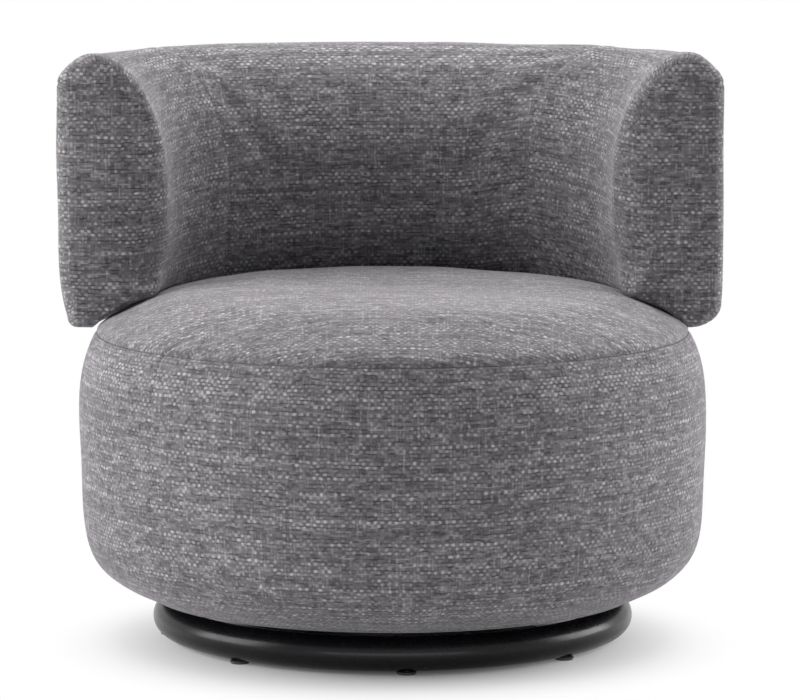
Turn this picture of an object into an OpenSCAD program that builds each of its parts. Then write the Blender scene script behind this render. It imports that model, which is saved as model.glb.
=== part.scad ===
// Swivel armchair: a round upholstered drum seat with a half-round backrest,
// turning on a ball bearing over a low tubular ring base.
// Millimetres, +Z up, -Y to the front, origin on the floor under the swivel axis.

/* [Backrest] */
// Width over the outer faces of the two wings
overall_w = 770; // [752:2:790]
// Reach of the backrest behind the swivel axis
back_reach = 372; // [368:1:378]
// Height of the backrest above its lower edge
back_h = 311; // [290:1:330]
// Height of the backrest's lower edge above the seam
back_rise = 3; // [2:0.5:6]
// Padding inside the shell at the wings
wing_pad = 34; // [28:1:40]
// Padding inside the shell behind the sitter
back_pad = 52; // [42:1:58]
// How far the wing ends reach in front of the swivel axis
wing_reach = 8; // [2:1:20]
// Rounding of the edges round each wing end
end_round = 18; // [12:1:22]
// Crown of the flat face of each wing end
end_crown = 3; // [1:0.5:5]
// Rounding of the top edge on the outside
top_round = 30; // [24:1:34]
// Height above the lower edge where the inner face starts to curve up and out
bulge_rise = 165; // [150:5:180]
// How far the inner face tucks in towards the seat
tuck_in = 17; // [12:1:22]
// Height above the lower edge where the inner face starts to tuck in
tuck_rise = 100; // [80:5:120]
// Height above the lower edge where the outer face starts to lean in
lean_rise = 119; // [100:1:130]
// How far the outer face leans in at its lower edge
lean_in = 8; // [4:1:12]
// Height of the rounded lower edge outside
corner_rise = 28; // [22:1:34]
// Depth of the rounded lower edge outside
corner_in = 30; // [24:1:34]
// Squareness of the inside of the backrest in plan
bay_power = 2.5; // [2.2:0.1:3]

/* [Seat drum] */
// Diameter of the drum at its fullest level
drum_d = 724; // [712:2:732]
// Height of the drum's side from its underside to the seam
drum_side_h = 303; // [290:1:320]
// Height of the fullest level above the underside
full_level_h = 204; // [180:2:230]
// Diameter of the seam between the side and the seat top
seam_d = 686; // [676:2:692]
// Diameter where the side turns under the drum
foot_d = 570; // [564:2:580]
// How far the side leans in between its fullest level and the turn of the foot
foot_lean = 12; // [8:1:16]
// Rise of the seat top above the seam
crown_h = 52; // [40:1:60]
// Width of the cover that is turned under the drum
hem_w = 17; // [12:1:22]

/* [Upholstery] */
// Thickness of the woven cover
cover_t = 2; // [1.6:0.1:2.4]
// Room between soft pieces that lie against each other
soft_gap = 0.3; // [0.2:0.05:0.4]
// Room between the domed seat top and the faceted underside of the backrest
rest_gap = 1.6; // [1.6:0.1:2.2]
// Width of a webbing strap
strap_w = 50; // [40:1:56]
// Distance between neighbouring straps
strap_pitch = 80; // [76:1:81]
// Thickness of a webbing strap
strap_t = 1.6; // [1.2:0.1:2]
// Number of straps each way
strap_count = 5; // [3:2:5]
// Thickness of the dust cloth under the drum
cloth_t = 0.8; // [0.6:0.1:1]
// Width of the dust cloth that laps over the hem
cloth_lap = 10; // [8:1:14]

/* [Base] */
// Height of a glide's foot under the ring
glide_h = 3; // [2:0.5:6]
// Diameter of a glide's foot
glide_d = 22; // [18:1:26]
// Diameter of a glide's stem
glide_stem_d = 6; // [5:0.5:8]
// Height of a glide's stem above its foot
glide_stem_h = 9; // [7:1:12]
// Chamfer round a glide's foot
glide_chamfer = 1; // [0.5:0.5:1.5]
// Number of glides
glide_count = 8; // [6:1:10]
// Outer diameter of the ring's tube
tube_d = 40; // [36:1:44]
// Wall of the ring's tube
tube_wall = 2; // [1.5:0.5:3]
// Diameter of the ring at the middle of its tube
ring_d = 518; // [500:2:530]
// Turn of the base from the front, in degrees
base_turn = 3.5; // [0:0.5:6]
// Width of a cross arm
arm_w = 50; // [44:1:60]
// Thickness of the cross
cross_t = 8; // [6:1:10]
// Diameter of the cross's hub
hub_d = 150; // [140:2:170]
// Diameter of the hole in the hub and in the swivel plates
hub_bore_d = 60; // [40:2:80]

/* [Swivel bearing] */
// Side of the square swivel plates
plate_w = 180; // [174:2:190]
// Thickness of the swivel plates
plate_t = 3; // [2.5:0.5:4]
// Diameter of the bolt circle in the swivel plates
plate_bolts_d = 212; // [204:1:216]
// Diameter of a bearing ball
ball_d = 8; // [6:0.5:10]
// Diameter of the circle that the balls run on
ball_circle_d = 140; // [130:1:150]
// Number of balls
ball_count = 24; // [16:1:28]
// Metal under and over the balls
race_web = 6; // [4:0.5:8]
// Room between a ball and its groove
groove_gap = 0.1; // [0.05:0.05:0.2]
// Thickness of the ball cage
cage_t = 1.2; // [0.8:0.1:1.4]

/* [Frame] */
// Thickness of the plywood bottom and top ring
ply_t = 18; // [15:1:22]
// How far the plywood bottom stays inside the turn of the cover
board_inset = 3; // [3:0.5:6]
// Height of the top ring's upper face above the board's underside
frame_h = 247; // [235:1:260]
// Width of the top ring
top_ring_w = 52; // [44:1:60]
// Thickness of the bent wall panel
panel_t = 4; // [3:0.5:5]
// Height of the wall panel's lower edge above the board's underside
panel_rise = 6; // [4:1:10]
// Number of frame posts
post_count = 8; // [8:2:8]
// Width of a frame post
post_w = 44; // [40:1:50]
// Depth of a frame post
post_depth = 30; // [24:1:36]
// Thickness of the bent plywood back shell
shell_t = 12; // [10:1:14]
// Height of the back shell
shell_h = 205; // [190:5:210]
// Height of the back shell's lower edge above the padding's underside
shell_foot = 12; // [8:1:16]
// Width of a back bracket
bracket_w = 40; // [32:1:44]
// Thickness of a back bracket
bracket_t = 6; // [5:0.5:8]
// Distance from a bracket's end to its nearest bolt
bracket_end = 25; // [20:1:30]
// Distance between a bracket's bolts in the post
post_bolt_pitch = 95; // [80:5:110]
// Height of a bracket's lower shell bolt above the shell's edge
shell_bolt_rise = 35; // [30:1:40]
// Distance between a bracket's bolts in the shell
shell_bolt_pitch = 70; // [60:5:90]
// Diameter of the bolts
bolt_d = 8; // [6:0.5:9]
// Room round a bolt in its hole
bolt_gap = 0.25; // [0.2:0.05:0.4]

/* [Hidden] */
$fn = 96;
bore_sides = 32;
tube_sides = 64;
drum_sides = 180;
eps = 0.01;
cut_over = 1;

// Levels of the base and bearing, from the floor up
ring_z = glide_h + tube_d / 2;
cross_top_z = ring_z + cross_t / 2;
lower_plate_top_z = cross_top_z + plate_t;
ball_z = lower_plate_top_z + race_web + ball_d / 2;
upper_plate_z = ball_z + ball_d / 2 + race_web;
board_z = upper_plate_z + plate_t;

// Levels of the drum
drum_bottom_z = board_z - cover_t;
full_level_z = drum_bottom_z + full_level_h;
seam_z = drum_bottom_z + drum_side_h;
crown_z = seam_z + crown_h;
frame_top_z = board_z + frame_h;
strap_gap = 0.3;
webbing_gap = 0.5;
foam_z = frame_top_z + 2 * strap_t + strap_gap + webbing_gap;

// Radii of the drum
drum_r = drum_d / 2;
seam_r = seam_d / 2;
foot_r = foot_d / 2;
board_r = foot_r - board_inset;
wall_r = board_r + panel_t;
ring_r = ring_d / 2;
shell_r = wall_r + bracket_t;
skin = cover_t + soft_gap;

// Shape of the drum: how round the foot, the shoulder and the crown are
foot_power = 11;
foot_roll = 1.5;
shoulder_power = 3;
crown_power = 4.5;
crown_roll = 0.68;
foot_steps = 14;
shoulder_steps = 8;
crown_steps = 18;

function foot_radius(t) =
    foot_r + (drum_r - foot_lean * t * t - foot_r) * pow(max(0, 1 - pow(t, foot_power)), foot_roll);
function shoulder_radius(t) = drum_r - (drum_r - seam_r) * pow(t, shoulder_power);
function crown_height(r) =
    seam_z + crown_h * pow(max(0, 1 - pow(min(r / seam_r, 1), crown_power)), crown_roll);

// Outline of the side cover from its hem to the seam
side_path = concat(
    [[foot_r - hem_w, drum_bottom_z]],
    [for (i = [foot_steps:-1:1]) let (t = sin(90 * i / foot_steps))
        [foot_radius(t), full_level_z - full_level_h * t]],
    [for (i = [0:shoulder_steps]) let (t = i / shoulder_steps)
        [shoulder_radius(t), full_level_z + (seam_z - full_level_z) * t]]
);

// Outline of the seat top from the seam to the middle
crown_path = [
    for (i = [0:crown_steps]) let (r = seam_r * sin(90 * (1 - i / crown_steps))) [r, crown_height(r)]
];

function unit(v) = v / norm(v);
function left_of(v) = [-v[1], v[0]];

// A path moved by a distance to its left, with its middle point kept on the axis
function inset_path(path, distance) = [
    for (i = [0:len(path) - 1])
        let (before = path[max(i - 1, 0)], after = path[min(i + 1, len(path) - 1)])
        let (moved = path[i] + distance * left_of(unit(after - before)))
        [max(0, moved[0]), moved[1]]
];
function reversed(list) = [for (i = [len(list) - 1:-1:0]) list[i]];
function all_but_last(list) = [for (i = [0:len(list) - 2]) list[i]];
function all_but_first(list) = [for (i = [1:len(list) - 1]) list[i]];

// Both covers end on one mitre line at the seam
seam_way = unit(crown_path[1] - side_path[len(side_path) - 2]);
function seam_point(distance) = [seam_r, seam_z] + distance * left_of(seam_way);
function side_inset(distance) =
    concat(all_but_last(inset_path(side_path, distance)), [seam_point(distance)]);
function crown_inset(distance) =
    concat([seam_point(distance)], all_but_first(inset_path(crown_path, distance)));

// Half section of everything inside the drum's cover
module drum_section(distance) {
    side = side_inset(distance);
    crown = all_but_first(crown_inset(distance));
    polygon(concat([[0, side[0][1]]], side, crown));
}

module drum_slice(distance, inner_r, low_z, high_z) {
    rotate_extrude()
        intersection() {
            drum_section(distance);
            translate([inner_r, low_z]) square([drum_r, high_z - low_z]);
        }
}

// Angles round the axis
function glide_angle(i) = base_turn - 90 + i * 360 / glide_count;
function arm_angle(i) = base_turn + 45 + i * 90;
function post_angle(i) = (i + 0.5) * 360 / post_count;
bracket_count = post_count / 2;

module around(angle, radius = 0) {
    rotate([0, 0, angle]) translate([radius, 0, 0]) children();
}

module bore(diameter, low_z, high_z) {
    translate([0, 0, low_z]) cylinder(d = diameter, h = high_z - low_z, $fn = bore_sides);
}

// Along X, from one distance from the axis to another
module radial_bore(diameter, near, far, z) {
    translate([near, 0, z]) rotate([0, 90, 0]) cylinder(d = diameter, h = far - near, $fn = bore_sides);
}

// Fasteners take their heads and nuts from the bolt size
head_h = 0.6 * bolt_d;
nut_h = 0.75 * bolt_d;
hex_d = 1.85 * bolt_d;
hole_d = bolt_d + 2 * bolt_gap;
tee_wall = 1.5;
tee_barrel_d = bolt_d + 2 * tee_wall;
tee_flange_d = 22;
tee_flange_t = 1.5;
tee_barrel_h = 10;
thread_gap = 0.05;
bolt_short = 1;

module hex_bolt(shank) {
    translate([0, 0, -head_h]) cylinder(d = hex_d, h = head_h, $fn = 6);
    cylinder(d = bolt_d, h = shank, $fn = bore_sides);
}

module hex_nut() {
    difference() {
        cylinder(d = hex_d, h = nut_h, $fn = 6);
        translate([0, 0, -cut_over])
            cylinder(d = bolt_d + 2 * thread_gap, h = nut_h + 2 * cut_over, $fn = bore_sides);
    }
}

// Flange up, barrel down
module tee_nut() {
    difference() {
        union() {
            cylinder(d = tee_flange_d, h = tee_flange_t, $fn = bore_sides);
            bore(tee_barrel_d, -tee_barrel_h, eps);
        }
        bore(bolt_d + 2 * thread_gap, -tee_barrel_h - cut_over, tee_flange_t + cut_over);
    }
}

// Base

// A rolled tube, drilled under each glide
module base_ring() {
    color("#141415")
        difference() {
            rotate_extrude($fn = drum_sides)
                translate([ring_r, ring_z])
                    difference() {
                        circle(d = tube_d, $fn = tube_sides);
                        circle(d = tube_d - 2 * tube_wall, $fn = tube_sides);
                    }
            for (i = [0:glide_count - 1])
                around(glide_angle(i), ring_r)
                    bore(glide_stem_d + 2 * bolt_gap, 0, glide_h + glide_stem_h);
        }
}

// Four flat arms and a hub, welded to the inside of the tube
module base_cross() {
    color("#1b1b1d")
        difference() {
            intersection() {
                union() {
                    for (turn = [0, 90])
                        rotate([0, 0, arm_angle(0) + turn])
                            translate([-ring_r, -arm_w / 2, ring_z - cross_t / 2])
                                cube([ring_d, arm_w, cross_t]);
                    translate([0, 0, ring_z - cross_t / 2]) cylinder(d = hub_d, h = cross_t);
                }
                cylinder(r = ring_r - tube_d / 2, h = 2 * ring_z, $fn = drum_sides);
            }
            for (i = [0:3])
                around(arm_angle(i), plate_bolts_d / 2) bore(hole_d, 0, cross_top_z + cut_over);
            bore(hub_bore_d, 0, cross_top_z + cut_over);
        }
}

// Each has a foot under the ring and a ribbed stem pushed into the tube
module floor_glides() {
    color("#202022")
        for (i = [0:glide_count - 1])
            around(glide_angle(i), ring_r) {
                cylinder(d1 = glide_d - 2 * glide_chamfer, d2 = glide_d, h = glide_chamfer,
                    $fn = tube_sides);
                translate([0, 0, glide_chamfer])
                    cylinder(d = glide_d, h = glide_h - glide_chamfer, $fn = tube_sides);
                translate([0, 0, glide_h - eps])
                    cylinder(d = glide_stem_d, h = glide_stem_h, $fn = bore_sides);
            }
}

// Swivel bearing

module swivel_plate(low_z, turn) {
    difference() {
        rotate([0, 0, turn])
            translate([-plate_w / 2, -plate_w / 2, low_z]) cube([plate_w, plate_w, plate_t]);
        for (i = [0:3])
            around(turn + 45 + 90 * i, plate_bolts_d / 2)
                bore(hole_d, low_z - cut_over, low_z + plate_t + cut_over);
        bore(hub_bore_d, low_z - cut_over, low_z + plate_t + cut_over);
    }
}

module swivel_lower_plate() {
    color("#3b3d40") swivel_plate(cross_top_z, base_turn);
}

module swivel_upper_plate() {
    color("#3b3d40") swivel_plate(upper_plate_z, 45);
}

// Races: the lower one holds the upper one down with a crimped lip
race_r = ball_circle_d / 2;
race_edge = 2;
race_half_w = ball_d / 2 + race_edge;
cage_room = 0.5;
race_split = cage_t / 2 + cage_room;
flange_w = 4;
run_gap = 0.4;
lip_t = 1.6;
race_wall_t = 3;
flange_r = race_r + race_half_w + flange_w;
lip_drop = 0.6;
flange_top_z = upper_plate_z - lip_drop - lip_t - 2 * run_gap;

module lower_race() {
    color("#9a9da1")
        rotate_extrude()
            difference() {
                polygon([
                    [race_r - race_half_w - flange_w, lower_plate_top_z],
                    [flange_r + run_gap + race_wall_t, lower_plate_top_z],
                    [flange_r + run_gap + race_wall_t, flange_top_z + run_gap + lip_t],
                    [race_r + race_half_w + run_gap, flange_top_z + run_gap + lip_t],
                    [race_r + race_half_w + run_gap, flange_top_z + run_gap],
                    [flange_r + run_gap, flange_top_z + run_gap],
                    [flange_r + run_gap, ball_z - race_split],
                    [race_r - race_half_w - flange_w, ball_z - race_split]
                ]);
                translate([race_r, ball_z]) circle(d = ball_d + 2 * groove_gap, $fn = tube_sides);
            }
}

module upper_race() {
    color("#9a9da1")
        rotate_extrude()
            difference() {
                polygon([
                    [race_r - race_half_w, ball_z + race_split],
                    [flange_r, ball_z + race_split],
                    [flange_r, flange_top_z],
                    [race_r + race_half_w, flange_top_z],
                    [race_r + race_half_w, upper_plate_z],
                    [race_r - race_half_w, upper_plate_z]
                ]);
                translate([race_r, ball_z]) circle(d = ball_d + 2 * groove_gap, $fn = tube_sides);
            }
}

module bearing_balls() {
    color("#c4c6c8")
        for (i = [0:ball_count - 1])
            around(i * 360 / ball_count, race_r)
                translate([0, 0, ball_z]) sphere(d = ball_d, $fn = bore_sides);
}

module ball_cage() {
    color("#c9a45a")
        difference() {
            translate([0, 0, ball_z - cage_t / 2])
                difference() {
                    cylinder(r = race_r + race_half_w, h = cage_t);
                    translate([0, 0, -cut_over])
                        cylinder(r = race_r - race_half_w, h = cage_t + 2 * cut_over);
                }
            for (i = [0:ball_count - 1])
                around(i * 360 / ball_count, race_r)
                    bore(ball_d + 4 * groove_gap, ball_z - cage_t, ball_z + cage_t);
        }
}

module swivel_base_bolts() {
    color("#55585c")
        for (i = [0:3])
            around(arm_angle(i), plate_bolts_d / 2)
                translate([0, 0, ring_z - cross_t / 2]) hex_bolt(cross_t + plate_t + nut_h);
}

module swivel_base_nuts() {
    color("#6a6d71")
        for (i = [0:3])
            around(arm_angle(i), plate_bolts_d / 2) translate([0, 0, lower_plate_top_z]) hex_nut();
}

module swivel_top_bolts() {
    color("#55585c")
        for (i = [0:3])
            around(90 * i, plate_bolts_d / 2)
                translate([0, 0, upper_plate_z]) hex_bolt(plate_t + ply_t - bolt_short);
}

module swivel_tee_nuts() {
    color("#6a6d71")
        for (i = [0:3])
            around(90 * i, plate_bolts_d / 2) translate([0, 0, board_z + ply_t]) tee_nut();
}

// Frame

screw_d = 5;
screw_h = 50;
screw_head_d = 10;
screw_head_h = 3;
screw_r = board_r - post_depth / 2;

// Countersunk, with the head at its lower end
module wood_screw(room) {
    cylinder(d1 = screw_head_d + room, d2 = screw_d + room, h = screw_head_h, $fn = bore_sides);
    cylinder(d = screw_d + room, h = screw_h, $fn = bore_sides);
}

module frame_screws_at(room) {
    for (i = [0:post_count - 1])
        around(post_angle(i), screw_r) {
            translate([0, 0, board_z]) wood_screw(room);
            translate([0, 0, frame_top_z]) mirror([0, 0, 1]) wood_screw(room);
        }
}

module frame_screws() {
    color("#b9a35c") frame_screws_at(0);
}

module bottom_board() {
    color("#c9a877")
        difference() {
            translate([0, 0, board_z]) cylinder(r = board_r, h = ply_t, $fn = drum_sides);
            for (i = [0:3])
                around(90 * i, plate_bolts_d / 2) {
                    bore(hole_d, board_z - cut_over, board_z + ply_t);
                    bore(tee_barrel_d + 2 * bolt_gap, board_z + ply_t - tee_barrel_h - bolt_gap,
                        board_z + ply_t + cut_over);
                }
            frame_screws_at(2 * thread_gap);
        }
}

// Thin cloth stapled over the turned-under hem, open round the swivel plate
cloth_clear = 8;
module dust_cloth() {
    hem_r = foot_r - hem_w;
    open_r = plate_w * sqrt(2) / 2 + cloth_clear;
    color("#232325")
        rotate_extrude()
            polygon([
                [open_r, board_z - cloth_t],
                [hem_r - cover_t - cloth_t, board_z - cloth_t],
                [hem_r - cloth_t, drum_bottom_z - cloth_t],
                [hem_r + cloth_lap, drum_bottom_z - cloth_t],
                [hem_r + cloth_lap, drum_bottom_z],
                [hem_r, drum_bottom_z],
                [hem_r - cover_t, board_z],
                [open_r, board_z]
            ]);
}

module frame_posts() {
    low_z = board_z + ply_t;
    high_z = frame_top_z - ply_t;
    color("#d3b98c")
        difference() {
            intersection() {
                for (i = [0:post_count - 1])
                    around(post_angle(i))
                        translate([board_r - post_depth, -post_w / 2, low_z])
                            cube([post_depth, post_w, high_z - low_z]);
                translate([0, 0, low_z]) cylinder(r = board_r, h = high_z - low_z, $fn = drum_sides);
            }
            frame_screws_at(2 * thread_gap);
            for (i = [0:bracket_count - 1])
                around(post_angle(i))
                    for (z = bracket_bolt_z) {
                        radial_bore(hole_d, board_r - post_depth - cut_over, board_r + cut_over, z);
                        radial_bore(tee_barrel_d + 2 * bolt_gap, board_r - post_depth - cut_over,
                            board_r - post_depth + tee_barrel_h + bolt_gap, z);
                    }
        }
}

module frame_top_ring() {
    color("#c9a877")
        difference() {
            translate([0, 0, frame_top_z - ply_t]) cylinder(r = board_r, h = ply_t, $fn = drum_sides);
            translate([0, 0, frame_top_z - ply_t - cut_over])
                cylinder(r = board_r - top_ring_w, h = ply_t + 2 * cut_over, $fn = drum_sides);
            frame_screws_at(2 * thread_gap);
        }
}

module wall_panel() {
    color("#b98f5c")
        difference() {
            translate([0, 0, board_z + panel_rise])
                cylinder(r = wall_r, h = frame_h - panel_rise, $fn = drum_sides);
            translate([0, 0, board_z - cut_over])
                cylinder(r = board_r, h = frame_h + 2 * cut_over, $fn = drum_sides);
            for (i = [0:bracket_count - 1])
                around(post_angle(i))
                    for (z = bracket_bolt_z)
                        radial_bore(hole_d, board_r - cut_over, wall_r + cut_over, z);
        }
}

// Straps woven over and under each other, flat where they cross and on the ring
function strap_level(i, k) = (i + k) % 2 == 0 ? strap_t + strap_gap : 0;
function strap_place(i) = (i - (strap_count - 1) / 2) * strap_pitch;

// Upper or lower edge of one strap, seen from its side
function strap_edge(i, reach, lift) = concat(
    [[-reach, lift]],
    [[strap_place(0) - strap_w / 2 - strap_ramp, lift]],
    [for (k = [0:strap_count - 1]) for (side = [-1, 1])
        [strap_place(k) + side * (strap_w / 2 + strap_flat), strap_level(i, k) + lift]],
    [[strap_place(strap_count - 1) + strap_w / 2 + strap_ramp, lift]],
    [[reach, lift]]
);
strap_flat = 2;
strap_ramp = 12;
strap_end = 6;

module strap(i, level_shift) {
    reach = sqrt(pow(board_r - strap_end, 2) - pow(abs(strap_place(i)) + strap_w / 2, 2));
    rotate([90, 0, 0])
        linear_extrude(height = strap_w, center = true)
            polygon(concat(
                strap_edge(i + level_shift, reach, 0),
                reversed(strap_edge(i + level_shift, reach, strap_t))
            ));
}

module seat_webbing() {
    color("#2b2a28")
        translate([0, 0, frame_top_z])
            for (i = [0:strap_count - 1]) {
                translate([0, strap_place(i), 0]) strap(i, 0);
                rotate([0, 0, 90]) translate([0, strap_place(i), 0]) strap(i, 1);
            }
}

// Drum upholstery

// Room that a bracket and its bolt heads need in the soft pieces round them
bracket_near = sqrt(pow(wall_r, 2) - pow(bracket_w / 2 + soft_gap, 2)) - soft_gap;
module bracket_rooms(near, far, low_z, high_z) {
    for (i = [0:bracket_count - 1])
        around(post_angle(i))
            translate([near, -bracket_w / 2 - soft_gap, low_z])
                cube([far - near, bracket_w + 2 * soft_gap, high_z - low_z]);
}

module side_foam() {
    color("#d9cf9a")
        difference() {
            drum_slice(skin, wall_r, board_z, foam_z - soft_gap);
            bracket_rooms(bracket_near, shell_r + head_h + soft_gap, bracket_z - soft_gap, foam_z);
        }
}

module seat_foam() {
    color("#e0d6a4")
        difference() {
            drum_slice(skin, 0, foam_z, crown_z);
            bracket_rooms(bracket_near, shell_r + soft_gap, foam_z - cut_over, crown_z);
        }
}

module drum_cover_side() {
    color("#6b6a6c")
        rotate_extrude($fn = drum_sides) polygon(concat(side_path, reversed(side_inset(cover_t))));
}

module drum_cover_top() {
    color("#77767a")
        difference() {
            rotate_extrude($fn = drum_sides) polygon(concat(crown_path, reversed(crown_inset(cover_t))));
            bracket_rooms(bracket_near, shell_r + soft_gap, seam_z, crown_z);
        }
}

// Backrest frame

back_z = seam_z + back_rise;
back_top_z = back_z + back_h;
shell_z = crown_height(wall_r) + rest_gap + skin + shell_foot;
shell_top_z = shell_z + shell_h;

// The upper bolt in a post clears the frame screw over it
bolt_under_screw = 10;
post_bolt_top_z = frame_top_z - screw_h - bolt_under_screw;
bracket_bolt_z = [post_bolt_top_z - post_bolt_pitch, post_bolt_top_z];
shell_bolt_z = [shell_z + shell_bolt_rise, shell_z + shell_bolt_rise + shell_bolt_pitch];
bracket_z = bracket_bolt_z[0] - bracket_end;
bracket_h = shell_bolt_z[1] + bracket_end - bracket_z;

// Flat bars rolled to the drum's radius
module back_brackets() {
    color("#2e3033")
        difference() {
            intersection() {
                translate([0, 0, bracket_z])
                    difference() {
                        cylinder(r = shell_r, h = bracket_h, $fn = drum_sides);
                        translate([0, 0, -cut_over])
                            cylinder(r = wall_r, h = bracket_h + 2 * cut_over, $fn = drum_sides);
                    }
                for (i = [0:bracket_count - 1])
                    around(post_angle(i))
                        translate([0, -bracket_w / 2, bracket_z]) cube([drum_r, bracket_w, bracket_h]);
            }
            for (i = [0:bracket_count - 1])
                around(post_angle(i))
                    for (z = concat(bracket_bolt_z, shell_bolt_z))
                        radial_bore(hole_d, wall_r - cut_over, shell_r + cut_over, z);
        }
}

// Heads outside, threads in the posts
module bracket_bolts() {
    color("#55585c")
        for (i = [0:bracket_count - 1])
            around(post_angle(i))
                for (z = bracket_bolt_z)
                    translate([shell_r, 0, z]) rotate([0, -90, 0])
                        hex_bolt(bracket_t + panel_t + post_depth - bolt_short);
}

module bracket_tee_nuts() {
    color("#6a6d71")
        for (i = [0:bracket_count - 1])
            around(post_angle(i))
                for (z = bracket_bolt_z)
                    translate([board_r - post_depth, 0, z]) rotate([0, -90, 0]) tee_nut();
}

// Heads inside, nuts let into the outside of the shell
nut_inset = 0.5;
nut_seat_r = shell_r + shell_t - nut_h - nut_inset;
head_seat_r = sqrt(pow(wall_r, 2) - pow(hex_d / 2, 2));
module shell_bolts() {
    color("#55585c")
        for (i = [0:bracket_count - 1])
            around(post_angle(i))
                for (z = shell_bolt_z)
                    translate([head_seat_r, 0, z])
                        rotate([0, 90, 0]) hex_bolt(bracket_t + shell_t - bolt_short);
}

module shell_nuts() {
    color("#6a6d71")
        for (i = [0:bracket_count - 1])
            around(post_angle(i))
                for (z = shell_bolt_z)
                    translate([nut_seat_r, 0, z])
                        rotate([0, 90, 0])
                            difference() {
                                cylinder(d = hex_d, h = nut_h, $fn = bore_sides);
                                bore(bolt_d + 2 * thread_gap, -cut_over, nut_h + cut_over);
                            }
}

// Half-round bent plywood
module back_shell() {
    color("#c49a63")
        difference() {
            translate([0, 0, shell_z])
                rotate_extrude(angle = 180, $fn = drum_sides)
                    translate([shell_r, 0]) square([shell_t, shell_h]);
            for (i = [0:bracket_count - 1])
                around(post_angle(i))
                    for (z = shell_bolt_z) {
                        radial_bore(hole_d, shell_r - cut_over, shell_r + shell_t + cut_over, z);
                        radial_bore(hex_d + 2 * bolt_gap, nut_seat_r - bolt_gap,
                            shell_r + shell_t + cut_over, z);
                    }
        }
}

// Backrest upholstery: a section swept round the drum

// Section of a wing, as distances in from its outer face and heights
wing_inner_r = shell_r - wing_pad;
back_inner_r = shell_r - back_pad;
wing_t = overall_w / 2 - wing_inner_r;
bulge_z = back_z + bulge_rise;
tuck_z = back_z + tuck_rise;
tuck_start = 4;
lean_z = back_z + lean_rise;
corner_z = back_z + corner_rise;
face_top_z = back_top_z - top_round;
inner_rise = back_top_z - bulge_z;

// Plan of the backrest: outer and inner reach at an angle round the axis
function outer_reach(a) = 1 / sqrt(pow(cos(a) * 2 / overall_w, 2) + pow(sin(a) / back_reach, 2));
function inner_reach(a) = pow(
    pow(abs(cos(a)) / wing_inner_r, bay_power) + pow(abs(sin(a)) / back_inner_r, bay_power),
    -1 / bay_power);
function reach_at(a, u) = outer_reach(a) - u * (outer_reach(a) - inner_reach(a)) / wing_t;
function floor_at(r, e) = max(back_z, crown_height(r) + rest_gap) + e;

// Points of the section: each is a reach from the axis and a height, e inside the outer surface
function outer_face(a, e) = concat(
    [for (t = [1, 0.5]) [reach_at(a, lean_in * t * t + e), lean_z - (lean_z - corner_z) * t]],
    [for (z = [lean_z, face_top_z]) [reach_at(a, e), z]]
);
top_angles = [30, 60];
function top_corner(a, e) = [
    for (t = top_angles)
        [reach_at(a, top_round - (top_round - e) * cos(t)), face_top_z + (top_round - e) * sin(t)]
];
crest_angles = [90, 72, 54, 36, 18, 0];
function crest_point(a, e, t) = [
    reach_at(a, top_round + (wing_t - top_round - e) * cos(t)), bulge_z + (inner_rise - e) * sin(t)
];
function crest_arc(a, e) = [for (t = crest_angles) crest_point(a, e, t)];
function tucked_face(a, e) = [[reach_at(a, wing_t - tuck_start - e), tuck_z]];
function low_point(e, r) = [r, floor_at(r, e)];
function heel_reach(a, e) = reach_at(a, wing_t - tuck_in - e);
edge_room = 1;
function edge_reach(a) = min(seam_r, reach_at(a, corner_in) - 2 * edge_room) + edge_room;
function low_corner(a, e) = [
    low_point(e, reach_at(a, corner_in)),
    let (s = sin(45), r = reach_at(a, corner_in - (corner_in - lean_in - e) * s))
        [r, max(floor_at(r, e), corner_z - (corner_z - back_z - e) * s)]
];
function underside_inner(a, e) = [
    for (r = [heel_reach(a, e), (heel_reach(a, e) + slot_in_r) / 2, slot_in_r]) low_point(e, r)
];
seam_steps = [20, 9];
function underside_outer(a, e) = [
    for (r = [seam_r - seam_steps[0], seam_r - seam_steps[1], edge_reach(a)]) low_point(e, r)
];

// Regular stations of the sweep
sweep_steps = 22;
first_angle = 6;
sweep_angle = (180 - 2 * first_angle) / sweep_steps;

// The whole section, and its parts outside and inside the shell
split_r = shell_r + shell_t / 2;
slot_out_r = (shell_r + shell_t + soft_gap) / cos(sweep_angle / 2);
slot_in_r = shell_r - soft_gap;
slot_top_z = shell_top_z + soft_gap;
function whole_section(a, e) = concat(
    outer_face(a, e), top_corner(a, e), crest_arc(a, e), tucked_face(a, e),
    underside_inner(a, e), underside_outer(a, e), low_corner(a, e)
);
function crest_at(a, e, r) = [r, lookup(r, crest_arc(a, e))];
function outer_section(a, e) = concat(
    outer_face(a, e), top_corner(a, e), [crest_point(a, e, crest_angles[0])],
    [crest_at(a, e, max(crest_point(a, e, crest_angles[1])[0], split_r + edge_room))],
    [crest_at(a, e, split_r + soft_gap)],
    [[split_r + soft_gap, slot_top_z], [slot_out_r, slot_top_z]],
    [[slot_out_r, lookup(slot_out_r, concat(underside_inner(a, e), underside_outer(a, e)))]],
    underside_outer(a, e), low_corner(a, e)
);
function inner_section(a, e) = concat(
    [crest_at(a, e, split_r - soft_gap)],
    [crest_at(a, e, min(crest_point(a, e, crest_angles[2])[0], split_r - edge_room))],
    [for (i = [3:5]) crest_point(a, e, crest_angles[i])], tucked_face(a, e), underside_inner(a, e),
    [[slot_in_r, slot_top_z], [split_r - soft_gap, slot_top_z]]
);

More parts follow.
